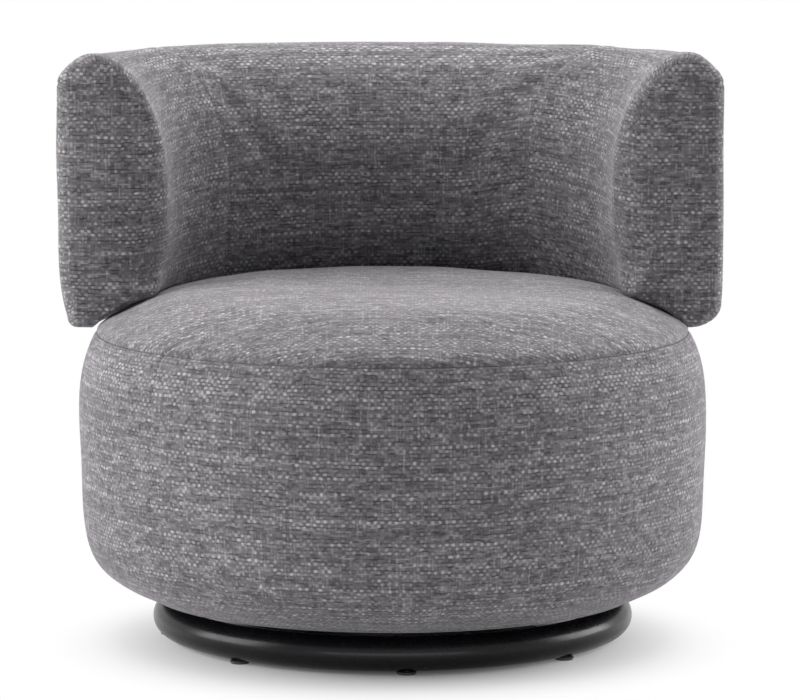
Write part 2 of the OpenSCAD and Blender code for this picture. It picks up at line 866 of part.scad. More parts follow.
// Stations along the sweep: angle, push to the front, and inset where the end is rounded
end_arc = [
    for (t = [90, 45, 0]) [end_round * sin(t) + wing_reach - end_round, end_round * (1 - cos(t))]
];
stations = concat(
    [for (s = end_arc) [0, s[0], s[1]]],
    [for (i = [0:sweep_steps]) [first_angle + i * sweep_angle, 0, 0]],
    [for (s = reversed(end_arc)) [180, s[0], s[1]]]
);

function placed(section, s, e) = [
    for (p = section) [p[0] * cos(s[0]), p[0] * sin(s[0]) - s[1] + (s[1] > 0 ? min(e, s[1]) : 0), p[1]]
];
function middle(points) = [
    for (k = [0:2]) (max([for (p = points) p[k]]) + min([for (p = points) p[k]])) / 2
];

// Closed skin over rings of equal length, with a fan at each end, flat or crowned
module sweep(rings, crown) {
    n = len(rings[0]);
    m = len(rings);
    points = concat(
        [for (ring = rings) for (p = ring) p],
        [middle(rings[0]) - [0, crown, 0]], [middle(rings[m - 1]) - [0, crown, 0]]
    );
    walls = [
        for (j = [0:m - 2]) for (i = [0:n - 1]) let (k = (i + 1) % n)
            each [[j * n + i, j * n + k, (j + 1) * n + i], [j * n + k, (j + 1) * n + k, (j + 1) * n + i]]
    ];
    first_cap = [for (i = [0:n - 1]) [m * n, (i + 1) % n, i]];
    last_cap = [for (i = [0:n - 1]) [m * n + 1, (m - 1) * n + i, (m - 1) * n + (i + 1) % n]];
    polyhedron(points = points, faces = concat(walls, first_cap, last_cap), convexity = 6);
}

module back_body(e) {
    sweep([for (s = stations) placed(whole_section(s[0], e + s[2]), s, e)], end_crown);
}

module back_foam_outer() {
    color("#d9cf9a") sweep([for (s = stations) placed(outer_section(s[0], skin + s[2]), s, skin)], 0);
}

// Round-ended slots for the brackets, and shallower ones for the bolt heads
module back_foam_inner() {
    slot_w = bracket_w + 2 * soft_gap;
    color("#e0d6a4")
        difference() {
            sweep([for (s = stations) placed(inner_section(s[0], skin + s[2]), s, skin)], 0);
            for (i = [0:bracket_count - 1])
                around(post_angle(i)) {
                    hull()
                        for (z = [seam_z, bracket_z + bracket_h])
                            radial_bore(slot_w, bracket_near, shell_r + cut_over, z);
                    hull()
                        for (z = shell_bolt_z)
                            radial_bore(hex_d + 2 * soft_gap, wall_r - head_h - soft_gap,
                                shell_r + cut_over, z);
                }
        }
}

module back_cover() {
    color("#727175")
        difference() {
            back_body(0);
            back_body(cover_t);
            bracket_rooms(bracket_near, shell_r + soft_gap, seam_z, shell_z);
        }
}

base_ring();
base_cross();
floor_glides();
swivel_lower_plate();
lower_race();
bearing_balls();
ball_cage();
upper_race();
swivel_upper_plate();
swivel_base_bolts();
swivel_base_nuts();
swivel_top_bolts();
swivel_tee_nuts();
bottom_board();
dust_cloth();
frame_posts();
frame_top_ring();
wall_panel();
frame_screws();
seat_webbing();
side_foam();
seat_foam();
drum_cover_side();
drum_cover_top();
back_brackets();
bracket_bolts();
bracket_tee_nuts();
shell_bolts();
shell_nuts();
back_shell();
back_foam_outer();
back_foam_inner();
back_cover();
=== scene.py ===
import math

import bpy
import numpy as np
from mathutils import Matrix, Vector


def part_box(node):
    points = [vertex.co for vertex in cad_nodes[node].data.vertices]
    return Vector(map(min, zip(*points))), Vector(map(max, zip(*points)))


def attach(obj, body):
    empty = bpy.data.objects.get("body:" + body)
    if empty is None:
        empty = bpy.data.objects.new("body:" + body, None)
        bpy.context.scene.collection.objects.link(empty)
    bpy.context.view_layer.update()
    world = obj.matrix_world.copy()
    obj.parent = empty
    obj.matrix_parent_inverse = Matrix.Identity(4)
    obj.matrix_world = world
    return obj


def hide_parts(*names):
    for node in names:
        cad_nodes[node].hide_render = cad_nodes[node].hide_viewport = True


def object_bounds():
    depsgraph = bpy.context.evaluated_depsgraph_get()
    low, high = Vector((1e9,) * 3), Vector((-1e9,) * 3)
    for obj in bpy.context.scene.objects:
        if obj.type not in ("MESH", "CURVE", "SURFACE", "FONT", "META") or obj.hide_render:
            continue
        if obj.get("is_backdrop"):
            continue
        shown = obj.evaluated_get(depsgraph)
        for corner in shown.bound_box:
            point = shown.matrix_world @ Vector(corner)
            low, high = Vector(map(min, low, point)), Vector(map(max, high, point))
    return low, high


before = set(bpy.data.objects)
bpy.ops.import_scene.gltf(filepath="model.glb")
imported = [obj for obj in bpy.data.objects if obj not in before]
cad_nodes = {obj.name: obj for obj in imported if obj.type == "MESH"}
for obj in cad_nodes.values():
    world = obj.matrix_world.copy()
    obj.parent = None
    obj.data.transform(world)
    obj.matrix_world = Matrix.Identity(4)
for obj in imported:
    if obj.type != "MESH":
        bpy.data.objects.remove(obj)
cad_low, cad_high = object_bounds()

MM = 0.001


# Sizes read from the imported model
(_, _, DRUM_LOW), (DRUM_R, _, SEAM_Z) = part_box("drum_cover_side")
_, (SEAM_R, _, CROWN_Z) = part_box("drum_cover_top")
(_, _, BACK_LOW), (BACK_X, BACK_Y, BACK_TOP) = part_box("back_cover")
(_, _, RING_LOW), (RING_OUT, _, RING_HIGH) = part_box("base_ring")
BOARD_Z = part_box("bottom_board")[0].z
WEB_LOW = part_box("seat_webbing")[0].z

# Shape of the drum, as in the solids
FOOT_R = 0.285
HEM_R = 0.268
FULL_Z = DRUM_LOW + 0.204
FOOT_LEAN = 0.012
FOOT_POWER = 11
FOOT_ROLL = 1.5
SHOULDER_POWER = 3
CROWN_POWER = 4.5
CROWN_ROLL = 0.68

# Shape of the backrest, as in the solids
WING_INNER = 0.258
BACK_INNER = 0.240
BAY_POWER = 2.5
WING_T = BACK_X - WING_INNER
WING_REACH = 0.008
END_CROWN = 0.0028
TOP_IN = 0.042
TOP_DROP = 0.032
TUCK_IN = 0.017
TUCK_POWER = 1.55
LEAN_Z = BACK_LOW + 0.119
LEAN_POWER = 3.5
BULGE_Z = BACK_LOW + 0.165
HEEL_R = 0.009
SEAT_GAP = 0.0006

# Panel seams in the backrest's inner corners: angle round the axis at some heights
RIGHT_SEAM = ([0.357, 0.495, 0.562, 0.613, 0.632, 0.645, 0.651, 0.665],
              [52.5, 52, 51, 50.5, 48.5, 47, 45.5, 43])
LEFT_SEAM = ([0.357, 0.520, 0.606, 0.635, 0.665], [136, 136, 139, 141, 143])


# Small numeric helpers
def chain(*parts):
    return np.concatenate(parts)


def coords(*parts):
    """Numbers side by side in a new last axis, each stretched to the same shape."""
    return np.stack(np.broadcast_arrays(*parts), -1)


def round_axis(r, turn, z):
    """Points at a distance from the axis, an angle round it and a height."""
    return coords(r * np.cos(turn), r * np.sin(turn), z)


def smooth_step(low, high, x):
    t = np.clip((x - low) / (high - low), 0, 1)
    return t * t * (3 - 2 * t)


def soft_waves(points, seed, length):
    """Smooth uneven bumps from about -1 to 1, of a given length in metres, the same each run."""
    draw = np.random.RandomState(seed)
    total = np.zeros(points.shape[:-1])
    for _ in range(9):
        way = draw.normal(size=3)
        way *= (0.6 + 0.8 * draw.rand()) / np.linalg.norm(way)
        total += np.sin(points @ way * (2 * math.pi / length) + draw.rand() * 2 * math.pi)
    return total / 3.4


def groove(distance, half_width):
    return np.exp(-((distance / half_width) ** 2))


def degrees_apart(a, b):
    return np.abs((a - b + 180) % 360 - 180)


def nearest(values, wanted):
    return int(np.argmin(np.abs(values - wanted)))


def distance_along(path):
    """How far each point of a path lies from its first one, along the path."""
    steps = np.linalg.norm(np.diff(path, axis=0), axis=-1)
    return chain(0 * steps[:1], np.cumsum(steps, axis=0))


def unit_rows(v):
    return v / np.maximum(np.linalg.norm(v, axis=-1, keepdims=True), 1e-12)


def grid_normals(grid, wrap=False):
    """Normals of a grid of points. With wrap, the last column is next to the first one."""
    if wrap:
        across = np.roll(grid, -1, axis=1) - np.roll(grid, 1, axis=1)
    else:
        across = np.gradient(grid, axis=1)
    return unit_rows(np.cross(across, np.gradient(grid, axis=0)))


def box_blur(field, times, wrap=False):
    for _ in range(times):
        ahead = np.roll(field, -1, axis=1)
        behind = np.roll(field, 1, axis=1)
        if not wrap:
            ahead[:, -1] = field[:, -1]
            behind[:, 0] = field[:, 0]
        field = (field * 2 + ahead + behind) / 4
        up = chain(field[1:], field[-1:])
        down = chain(field[:1], field[:-1])
        field = (field * 2 + up + down) / 4
    return field


def grid_quads(rows, columns, wrap=False):
    """Corner numbers of the faces of a grid, row by row, as one list."""
    last = columns if wrap else columns - 1
    i, j = np.meshgrid(np.arange(rows - 1), np.arange(last), indexing="ij")
    k = (j + 1) % columns
    corners = coords(i * columns + j, i * columns + k, (i + 1) * columns + k, (i + 1) * columns + j)
    return corners.reshape(-1, 4)


def joined(parts):
    """Points and faces of several parts, put into one mesh."""
    points = []
    faces = []
    for more, quads in parts:
        faces += [tuple(n + len(points) for n in f) for f in quads]
        points += list(more)
    return points, faces


def new_mesh(name, points, faces, weave=None, smooth=True):
    """A mesh object. weave holds, for each face corner in order, the place on the cloth in metres."""
    mesh = bpy.data.meshes.new(name)
    mesh.from_pydata(np.reshape(points, (-1, 3)).tolist(), [], [tuple(f) for f in faces])
    if weave is not None:
        layer = mesh.uv_layers.new(name="weave")
        layer.uv.foreach_set("vector", np.asarray(weave, np.float32).ravel())
    mesh.polygons.foreach_set("use_smooth", [smooth] * len(mesh.polygons))
    mesh.update()
    made = bpy.data.objects.new(name, mesh)
    bpy.context.scene.collection.objects.link(made)
    return made


def closed_mesh(name, grid):
    """A ring-shaped skin: the grid's last row joins its first, and its last column the first one."""
    rows, columns = grid.shape[:2]
    return new_mesh(name, grid, (grid_quads(rows + 1, columns, True) % (rows * columns)).tolist())


def finished(piece, body, slot, material, *stands_for):
    """Gives a piece its material and body, and hides the nodes that it stands for. The slot is not used."""
    piece.data.materials.clear()
    piece.data.materials.append(material)
    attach(piece, body)
    if stands_for:
        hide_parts(*stands_for)
    return piece


# Materials
class Shader:
    """A node material, with short calls for its nodes."""

    def __init__(self, name):
        self.material = bpy.data.materials.new(name)
        self.material.use_nodes = True
        self.tree = self.material.node_tree
        self.main = next(n for n in self.tree.nodes if n.type == "BSDF_PRINCIPLED")

    def put(self, socket, value):
        if isinstance(value, bpy.types.NodeSocket):
            self.tree.links.new(value, socket)
        elif isinstance(value, (tuple, list)) and len(value) == 3 and socket.type == "RGBA":
            socket.default_value = (*value, 1)
        else:
            socket.default_value = value

    def node(self, kind, settings=None, **inputs):
        made = self.tree.nodes.new("ShaderNode" + kind)
        for key, value in (settings or {}).items():
            setattr(made, key, value)
        for key, value in inputs.items():
            self.put(made.inputs[key.replace("_", " ")], value)
        return made

    def filled(self, made, *values):
        for k, value in enumerate(values):
            self.put(made.inputs[k], value)
        return made.outputs[0]

    def math(self, operation, *values):
        return self.filled(self.node("Math", {"operation": operation}), *values)

    def vector(self, operation, *values):
        return self.filled(self.node("VectorMath", {"operation": operation}), *values)

    def plus(self, a, b):
        return self.math("ADD", a, b)

    def minus(self, a, b):
        return self.math("SUBTRACT", a, b)

    def times(self, a, b):
        return self.math("MULTIPLY", a, b)

    def size(self, a):
        return self.math("ABSOLUTE", a)

    def reach(self, x, y):
        """The distance from the axis."""
        return self.math("SQRT", self.plus(self.times(x, x), self.times(y, y)))

    def join(self, x=0.0, y=0.0, z=0.0):
        return self.node("CombineXYZ", X=x, Y=y, Z=z).outputs[0]

    def split(self, value):
        return self.node("SeparateXYZ", Vector=value).outputs

    def ramp(self, value, low, high, to_low=0.0, to_high=1.0, smooth=False):
        kind = {"interpolation_type": "SMOOTHSTEP"} if smooth else {}
        return self.filled(self.node("MapRange", kind), value, low, high, to_low, to_high)

    def fade(self, value, near, far):
        """1 up to near, and softly down to 0 at far."""
        return self.ramp(value, near, far, 1.0, 0.0, smooth=True)

    def blend(self, share, first, second):
        made = self.node("Mix", {"data_type": "RGBA"})
        for k, value in ((0, share), (6, first), (7, second)):
            self.put(made.inputs[k], value)
        return made.outputs[2]

    def random(self, kind, **inputs):
        return self.node("TexWhiteNoise", {"noise_dimensions": kind}, **inputs).outputs[0]

    def noise(self, vector, scale, detail=2.0, rough=0.5):
        made = self.node("TexNoise", Vector=vector, Scale=scale, Detail=detail, Roughness=rough)
        return made.outputs[0]

    def stretched(self, vector, scales, detail=2.0):
        """Noise with a scale of its own along each axis."""
        return self.noise(self.vector("MULTIPLY", vector, scales), 1.0, detail)

    def place(self):
        """The place on the piece, in metres."""
        return self.node("TexCoord").outputs["Object"]

    def bump(self, height, distance, strength=1.0):
        made = self.node("Bump", Height=height, Distance=distance, Strength=strength)
        self.put(self.main.inputs["Normal"], made.outputs[0])

    def set(self, **inputs):
        for key, value in inputs.items():
            self.put(self.main.inputs[key.replace("_", " ")], value)


# Heathered cloth
WARP_PITCH = 0.00393
WEFT_PITCH = 0.00433
YARN_DARK = (0.0198, 0.0190, 0.0201)
YARN_LIGHT = (0.556, 0.534, 0.561)
DRIFT = (0.0050, 0.0042, 0)
GROUND = 0.240
GROUND_SPREAD = 0.12
SLUB_LIGHT = 0.76
WARP_LIGHT = 0.27
THREAD_LIGHT = 0.32
# Depth of the painted shade in some of the gaps between picks
PAINTED_GAP_SHADE = 0.15
GRAIN_TONE = 0.10
SHEEN = 0.30


def heather_cloth():
    """Plain weave of thick yarns in mixed greys: light slubs show in stretches along the weft."""
    s = Shader("heather_cloth")
    flat = s.node("UVMap", {"uv_map": "weave"}).outputs[0]
    drift = s.node("TexNoise", Vector=flat, Scale=90.0, Detail=2.0).outputs[1]
    drift = s.vector("MULTIPLY", s.vector("SUBTRACT", drift, (0.5, 0.5, 0.5)), DRIFT)
    at = s.vector("ADD", flat, drift)
    x, y, _ = s.split(at)
    column = s.math("DIVIDE", x, WARP_PITCH)
    row = s.math("DIVIDE", y, WEFT_PITCH)
    pick = s.math("FLOOR", row)
    q_far = s.size(s.minus(s.minus(row, pick), 0.5))
    # Every weft yarn floats over one warp yarn and dives under the next, offset from pick to pick
    turn = s.times(s.plus(column, pick), 0.5)
    float_number = s.math("FLOOR", turn)
    p_far = s.size(s.times(s.minus(s.minus(turn, float_number), 0.5), 2.0))
    over = s.fade(p_far, 0.18, 0.74)
    band = s.fade(q_far, 0.14, 0.54)
    # Tone along each weft yarn, in stretches, and from float to float
    run = s.noise(s.join(s.times(x, 36.0), s.times(pick, 5.37), 1.3), 1.0, 3.0, 0.7)
    run = s.plus(run, s.times(s.minus(s.random("1D", W=pick), 0.5), 0.22))
    dot = s.random("2D", Vector=s.join(float_number, pick))
    light = s.times(s.ramp(run, 0.38, 0.74), s.ramp(dot, 0.0, 1.0, 0.30, 1.40))
    shown = s.times(band, s.plus(s.times(over, 0.84), 0.16))
    weft = s.times(s.times(light, shown), SLUB_LIGHT)
    # Light warp yarns show between the floats, in short strokes
    end = s.math("FLOOR", s.plus(column, 0.5))
    warp_off = s.size(s.minus(column, end))
    warp_run = s.noise(s.join(s.times(end, 4.91), s.times(y, 40.0), 7.1), 1.0, 3.0, 0.7)
    stroke = s.times(s.fade(warp_off, 0.12, 0.36), s.ramp(warp_run, 0.50, 0.72))
    warp = s.times(stroke, WARP_LIGHT)
    # Thin light strands that lie between two picks in places, and painted shade along the gap between two
    # picks in others
    edge = s.math("FLOOR", s.plus(row, 0.5))
    strand = s.times(edge, 8.11)
    line = s.fade(s.size(s.minus(row, edge)), 0.10, 0.26)
    light_run = s.noise(s.join(s.times(x, 44.0), strand, 3.9), 1.0, 2.0)
    gap_shade_run = s.noise(s.join(s.times(x, 90.0), strand, 23.7), 1.0, 2.0)
    thread = s.times(line, s.ramp(light_run, 0.52, 0.66, 0.0, THREAD_LIGHT, smooth=True))
    gap = s.times(line, s.ramp(gap_shade_run, 0.40, 0.66, 0.0, PAINTED_GAP_SHADE, smooth=True))
    # Low, soft unevenness of the ground
    fibre = s.stretched(at, (700.0, 900.0, 1.0))
    patch = s.stretched(at, (60.0, 110.0, 1.0), 3.0)
    broad = s.noise(s.place(), 7.0, 2.0)
    grain = s.random("2D", Vector=s.join(end, pick))
    ground = s.plus(s.ramp(fibre, 0.25, 0.75, GROUND - GROUND_SPREAD, GROUND + GROUND_SPREAD),
                    s.ramp(patch, 0.3, 0.7, -0.055, 0.055))
    tone = s.minus(s.plus(s.plus(ground, weft), s.plus(warp, thread)), gap)
    tone = s.plus(tone, s.times(band, s.ramp(grain, 0.0, 1.0, -GRAIN_TONE, GRAIN_TONE)))
    tone = s.times(tone, s.ramp(broad, 0.3, 0.7, 0.95, 1.05))
    s.set(Base_Color=s.blend(tone, YARN_DARK, YARN_LIGHT), Roughness=0.92, Specular_IOR_Level=0.25)
    s.set(Sheen_Weight=SHEEN, Sheen_Roughness=0.45, Sheen_Tint=(0.95, 0.91, 0.96, 1.0))
    relief = s.times(band, s.plus(s.times(over, 0.6), 0.4))
    s.bump(s.plus(relief, s.times(fibre, 0.5)), 0.0004, 0.3)
    return s.material


# Other materials
def mottled(name, dark, pale, cloud, gloss, rough, grain, spread=(0.3, 0.7), specular=0.5):
    """Paint or plastic: clouded in tone and in gloss, over a fine grain."""
    s = Shader(name)
    at = s.place()
    s.set(Base_Color=s.blend(s.ramp(s.noise(at, *cloud), *spread), dark, pale))
    s.set(Roughness=s.ramp(s.noise(at, *gloss), 0.3, 0.7, *rough), Specular_IOR_Level=specular)
    fine, depth, strength = grain
    s.bump(s.noise(at, fine), depth, strength)
    return s.material


def turned_steel(name, colour, rough):
    """Metal turned on a lathe: fine rings round the swivel axis."""
    s = Shader(name)
    x, y, z = s.split(s.place())
    rings = s.noise(s.join(s.times(s.reach(x, y), 3200.0), s.times(z, 3200.0)), 1.0)
    dark = tuple(c * 0.82 for c in colour)
    s.set(Base_Color=s.blend(s.ramp(rings, 0.3, 0.7), dark, colour), Metallic=1.0)
    s.set(Roughness=s.ramp(rings, 0.3, 0.7, rough, rough + 0.12))
    s.bump(rings, 0.00003, 0.4)
    return s.material


def zinc_plate():
    """Zinc plating with its faint spangle."""
    s = Shader("zinc_plate")
    at = s.place()
    spangle = s.split(s.node("TexVoronoi", Vector=at, Scale=420.0).outputs["Color"])[0]
    s.set(Base_Color=s.blend(spangle, (0.46, 0.47, 0.49), (0.60, 0.61, 0.63)), Metallic=1.0)
    s.set(Roughness=s.ramp(spangle, 0.0, 1.0, 0.28, 0.42))
    s.bump(s.noise(at, 900.0, 2.0), 0.00003, 0.4)
    return s.material


def plywood(name, layers_from_axis):
    """Birch plywood: grain on its faces and thin crosswise layers on its edges."""
    s = Shader(name)
    at = s.place()
    x, y, z = s.split(at)
    depth = s.reach(x, y) if layers_from_axis else z
    grain = s.stretched(at, (9.0, 160.0, 30.0), 4.0)
    face = s.blend(s.ramp(grain, 0.32, 0.68), (0.52, 0.37, 0.21), (0.74, 0.58, 0.38))
    layer = s.math("FRACT", s.times(depth, 1 / 0.003))
    edge = s.blend(s.ramp(layer, 0.46, 0.54), (0.43, 0.28, 0.15), (0.70, 0.54, 0.35))
    lean = s.split(s.node("NewGeometry").outputs["Normal"])[2]
    upright = s.ramp(s.size(lean), 0.4, 0.6)
    on_edge = upright if layers_from_axis else s.minus(1.0, upright)
    s.set(Base_Color=s.blend(on_edge, face, edge))
    s.set(Roughness=s.ramp(grain, 0.3, 0.7, 0.5, 0.66))
    s.bump(grain, 0.0002, 0.4)
    return s.material


def beech():
    """Planed beech, with short darker flecks along its length."""
    s = Shader("beech")
    at = s.place()
    drawn = s.vector("MULTIPLY", at, (900.0, 900.0, 140.0))
    fleck = s.node("TexVoronoi", Vector=drawn, Scale=1.0).outputs[0]
    grain = s.stretched(at, (70.0, 70.0, 5.0), 4.0)
    wood = s.blend(s.ramp(grain, 0.32, 0.68), (0.52, 0.34, 0.20), (0.70, 0.52, 0.34))
    s.set(Base_Color=s.blend(s.ramp(fleck, 0.12, 0.30, 0.5, 0.0), wood, (0.36, 0.21, 0.11)))
    s.set(Roughness=s.ramp(grain, 0.3, 0.7, 0.48, 0.6))
    s.bump(grain, 0.00015, 0.4)
    return s.material


def strap_cloth():
    """Dense elastic webbing with lengthwise ribs and a lighter stripe along each edge, with painted shade
    in the grooves between the ribs and picks.
    """
    s = Shader("strap_cloth")
    x, y, _ = s.split(s.node("UVMap", {"uv_map": "weave"}).outputs[0])
    ribs = s.size(s.math("SINE", s.times(y, math.pi / 0.0022)))
    picks = s.size(s.math("SINE", s.times(x, math.pi / 0.0030)))
    weave = s.times(s.math("SQRT", ribs), s.plus(0.6, s.times(picks, 0.4)))
    from_stripe = s.size(s.minus(s.size(y), 0.017))
    stripe = s.ramp(from_stripe, 0.0015, 0.0022, 1.0, 0.0)
    base = s.blend(stripe, (0.055, 0.052, 0.050), (0.42, 0.36, 0.22))
    # Painted shade: the colour goes nearly black where the ribs and picks dip, in the grooves between them
    s.set(Base_Color=s.blend(s.ramp(weave, 0.1, 0.9, 0.75, 0.0), base, (0.012, 0.012, 0.012)))
    s.set(Roughness=0.85, Sheen_Weight=0.2, Sheen_Roughness=0.5)
    s.bump(weave, 0.0004, 0.7)
    return s.material


def dust_felt():
    """Thin black spunbond cloth with its grid of tiny bonding dots."""
    s = Shader("dust_felt")
    at = s.place()
    x, y, _ = s.split(at)
    waves = [s.math("SINE", s.times(way, 2 * math.pi / 0.0024)) for way in (x, y)]
    dots = s.times(*waves)
    fibres = s.noise(at, 700.0, 4.0)
    tone = s.blend(s.ramp(fibres, 0.3, 0.7), (0.018, 0.018, 0.019), (0.050, 0.050, 0.052))
    s.set(Base_Color=s.blend(s.ramp(dots, 0.5, 0.8, 0.0, 0.6), tone, (0.012, 0.012, 0.013)))
    s.set(Roughness=0.88, Sheen_Weight=0.15, Sheen_Roughness=0.5)
    s.bump(s.minus(fibres, s.times(dots, 0.2)), 0.0002, 0.6)
    return s.material


# Shape of the drum
def drum_radius(z):
    below = np.clip((FULL_Z - z) / (FULL_Z - DRUM_LOW), 0, 1)
    above = np.clip((z - FULL_Z) / (SEAM_Z - FULL_Z), 0, 1)
    side = DRUM_R - FOOT_LEAN * below**2
    foot = FOOT_R + (side - FOOT_R) * np.maximum(0, 1 - below**FOOT_POWER) ** FOOT_ROLL
    shoulder = DRUM_R - (DRUM_R - SEAM_R) * above**SHOULDER_POWER
    return np.where(z < FULL_Z, foot, shoulder)


def crown_height(r):
    share = np.clip(np.asarray(r, float) / SEAM_R, 0, 1)
    return SEAM_Z + (CROWN_Z - SEAM_Z) * np.maximum(0, 1 - share**CROWN_POWER) ** CROWN_ROLL


SEAM_ROLL = 0.0030
SEAM_SINK = 0.0014
SEAM_ENDS = (0.0080, 0.0055, 0.0040, 0.0028, 0.0018, 0.0009, 0.0)
TUCK_UNDER = 0.007
TUCK_DRAW = 0.0020
ROW_STEP = 0.0052
CROWN_STEP = 0.0060


def even_steps(path, step, ends):
    """Points at even distances along a path, and at some given distances from its end."""
    lengths = distance_along(path)
    count = int(math.ceil(lengths[-1] / step))
    at = np.linspace(0, lengths[-1], count + 1)
    at = chain(at[at < lengths[-1] - max(ends) - step / 2], lengths[-1] - np.array(ends))
    points = np.stack([np.interp(at, lengths, each) for each in path.T], -1)
    return points, at


def side_profile():
    """Outline of the side panel from its hem to the seam, and the distance along it."""
    rise = np.sin(np.linspace(math.pi / 2, 0, 160))
    foot_z = FULL_Z - (FULL_Z - DRUM_LOW) * rise
    shoulder_z = np.linspace(FULL_Z, SEAM_Z, 60)[1:]
    z = chain(foot_z, shoulder_z)
    path = coords(drum_radius(z), z)
    hem = coords(np.linspace(HEM_R, FOOT_R, 12)[:-1], np.full(11, DRUM_LOW))
    return even_steps(chain(hem, path), ROW_STEP, SEAM_ENDS)


def crown_profile():
    """Outline of the seat top from the middle to the seam, and the distance along it."""
    r = SEAM_R * np.sin(np.linspace(0, math.pi / 2, 240))
    path = coords(r, crown_height(r))
    return even_steps(path, CROWN_STEP, SEAM_ENDS)


def angles_with_seams(step, seams):
    """Angles round the axis in degrees, closer together beside each seam."""
    near = (-0.75, -0.5, -0.3, -0.12, 0, 0.12, 0.3, 0.5, 0.75)
    regular = np.arange(0, 360, step)
    for seam in seams:
        regular = regular[degrees_apart(regular, seam) > 0.75 + step / 3]
    close = [(seam + n) % 360 for seam in seams for n in near]
    return np.unique(np.round(chain(regular, close), 4))


# Cloth simulation
PUFF_CAP = 0.0035
PUFF_FRAMES = 20
STRAY = 0.0006
# Share of the mean lift that is taken off again
MEAN_OFF = 0.5
BACK_MEAN_OFF = 0.35
PUFF = {
    "quality": 6, "mass": 0.35, "tension_stiffness": 40, "compression_stiffness": 40, "shear_stiffness": 12,
    "bending_stiffness": 2.0, "vertex_group_mass": "held", "pin_stiffness": 20, "use_pressure": True,
    "uniform_pressure_force": 4,
}


def puffed(name, start, quads, pinned):
    """Blows a coarse copy of a cover up from inside, and returns how far each point of it moved."""
    work = new_mesh(name, start, quads.tolist())
    group = work.vertex_groups.new(name="held")
    for k, share in enumerate(pinned.ravel()):
        if share > 0:
            group.add([k], float(share), "REPLACE")
    cloth = work.modifiers.new("cloth", "CLOTH")
    for key, value in PUFF.items():
        setattr(cloth.settings, key, value)
    cloth.settings.effector_weights.gravity = 0
    cloth.collision_settings.use_collision = False
    cloth.collision_settings.use_self_collision = False
    cloth.point_cache.frame_start = 1
    cloth.point_cache.frame_end = PUFF_FRAMES
    scene = bpy.context.scene
    for step in range(1, PUFF_FRAMES + 1):
        scene.frame_set(step)
    shown = work.evaluated_get(bpy.context.evaluated_depsgraph_get())
    moved = np.zeros(start.size)
    shown.data.vertices.foreach_get("co", moved)
    moved = moved.reshape(start.shape) - start
    scene.frame_set(1)
    bpy.data.objects.remove(work)
    far = np.linalg.norm(moved, axis=-1, keepdims=True)
    print("PUFF", name, "max mm", round(far.max() / MM, 2), "mean mm", round(far.mean() / MM, 2))
    return moved * np.minimum(1, PUFF_CAP / np.maximum(far, 1e-9))


def resampled(field, old_rows, old_columns, rows, columns, period=None):
    """A coarse grid of values read at finer rows and columns, then smoothed."""
    if period:
        old_columns = chain(old_columns, [old_columns[0] + period])
        field = np.concatenate([field, field[:, :1]], axis=1)
    depth = field.shape[-1]
    across = np.stack([[np.interp(columns, old_columns, row[:, k]) for k in range(depth)] for row in field])
    across = across.transpose(0, 2, 1)
    flat = across.reshape(len(old_rows), -1)
    down = np.stack([np.interp(rows, old_rows, each) for each in flat.T], -1)
    return box_blur(down.reshape(len(rows), len(columns), depth), 3, bool(period))


# Covers of the drum
SIDE_SEAM = 222.0
REAR_SEAM = 42.0
UNDULATION = 0.0009
DOME_UNDULATION = 0.0011
PANEL_SHIFT = 0.0023
TURN_STEP = 0.95
COARSE_TURN = 2.0
COARSE_ROWS = 34


def seam_push(grid, from_seam, seed, length, high, fade):
    """Fine gathers that fade away from the seam, and the roll down into it."""
    gathers = high * soft_waves(grid * np.array([1, 1, 0]), seed, length)
    gathers = gathers * np.exp(-from_seam / fade) * smooth_step(0, 0.004, from_seam)
    return gathers - SEAM_SINK * np.exp(-((from_seam / SEAM_ROLL) ** 2) * 1.4)


def tucked(rim):
    """The rim of a panel, taken down into the seam."""
    draw = 1 - TUCK_DRAW / SEAM_R
    return rim * np.array([draw, draw, 1]) - np.array([0, 0, TUCK_UNDER])


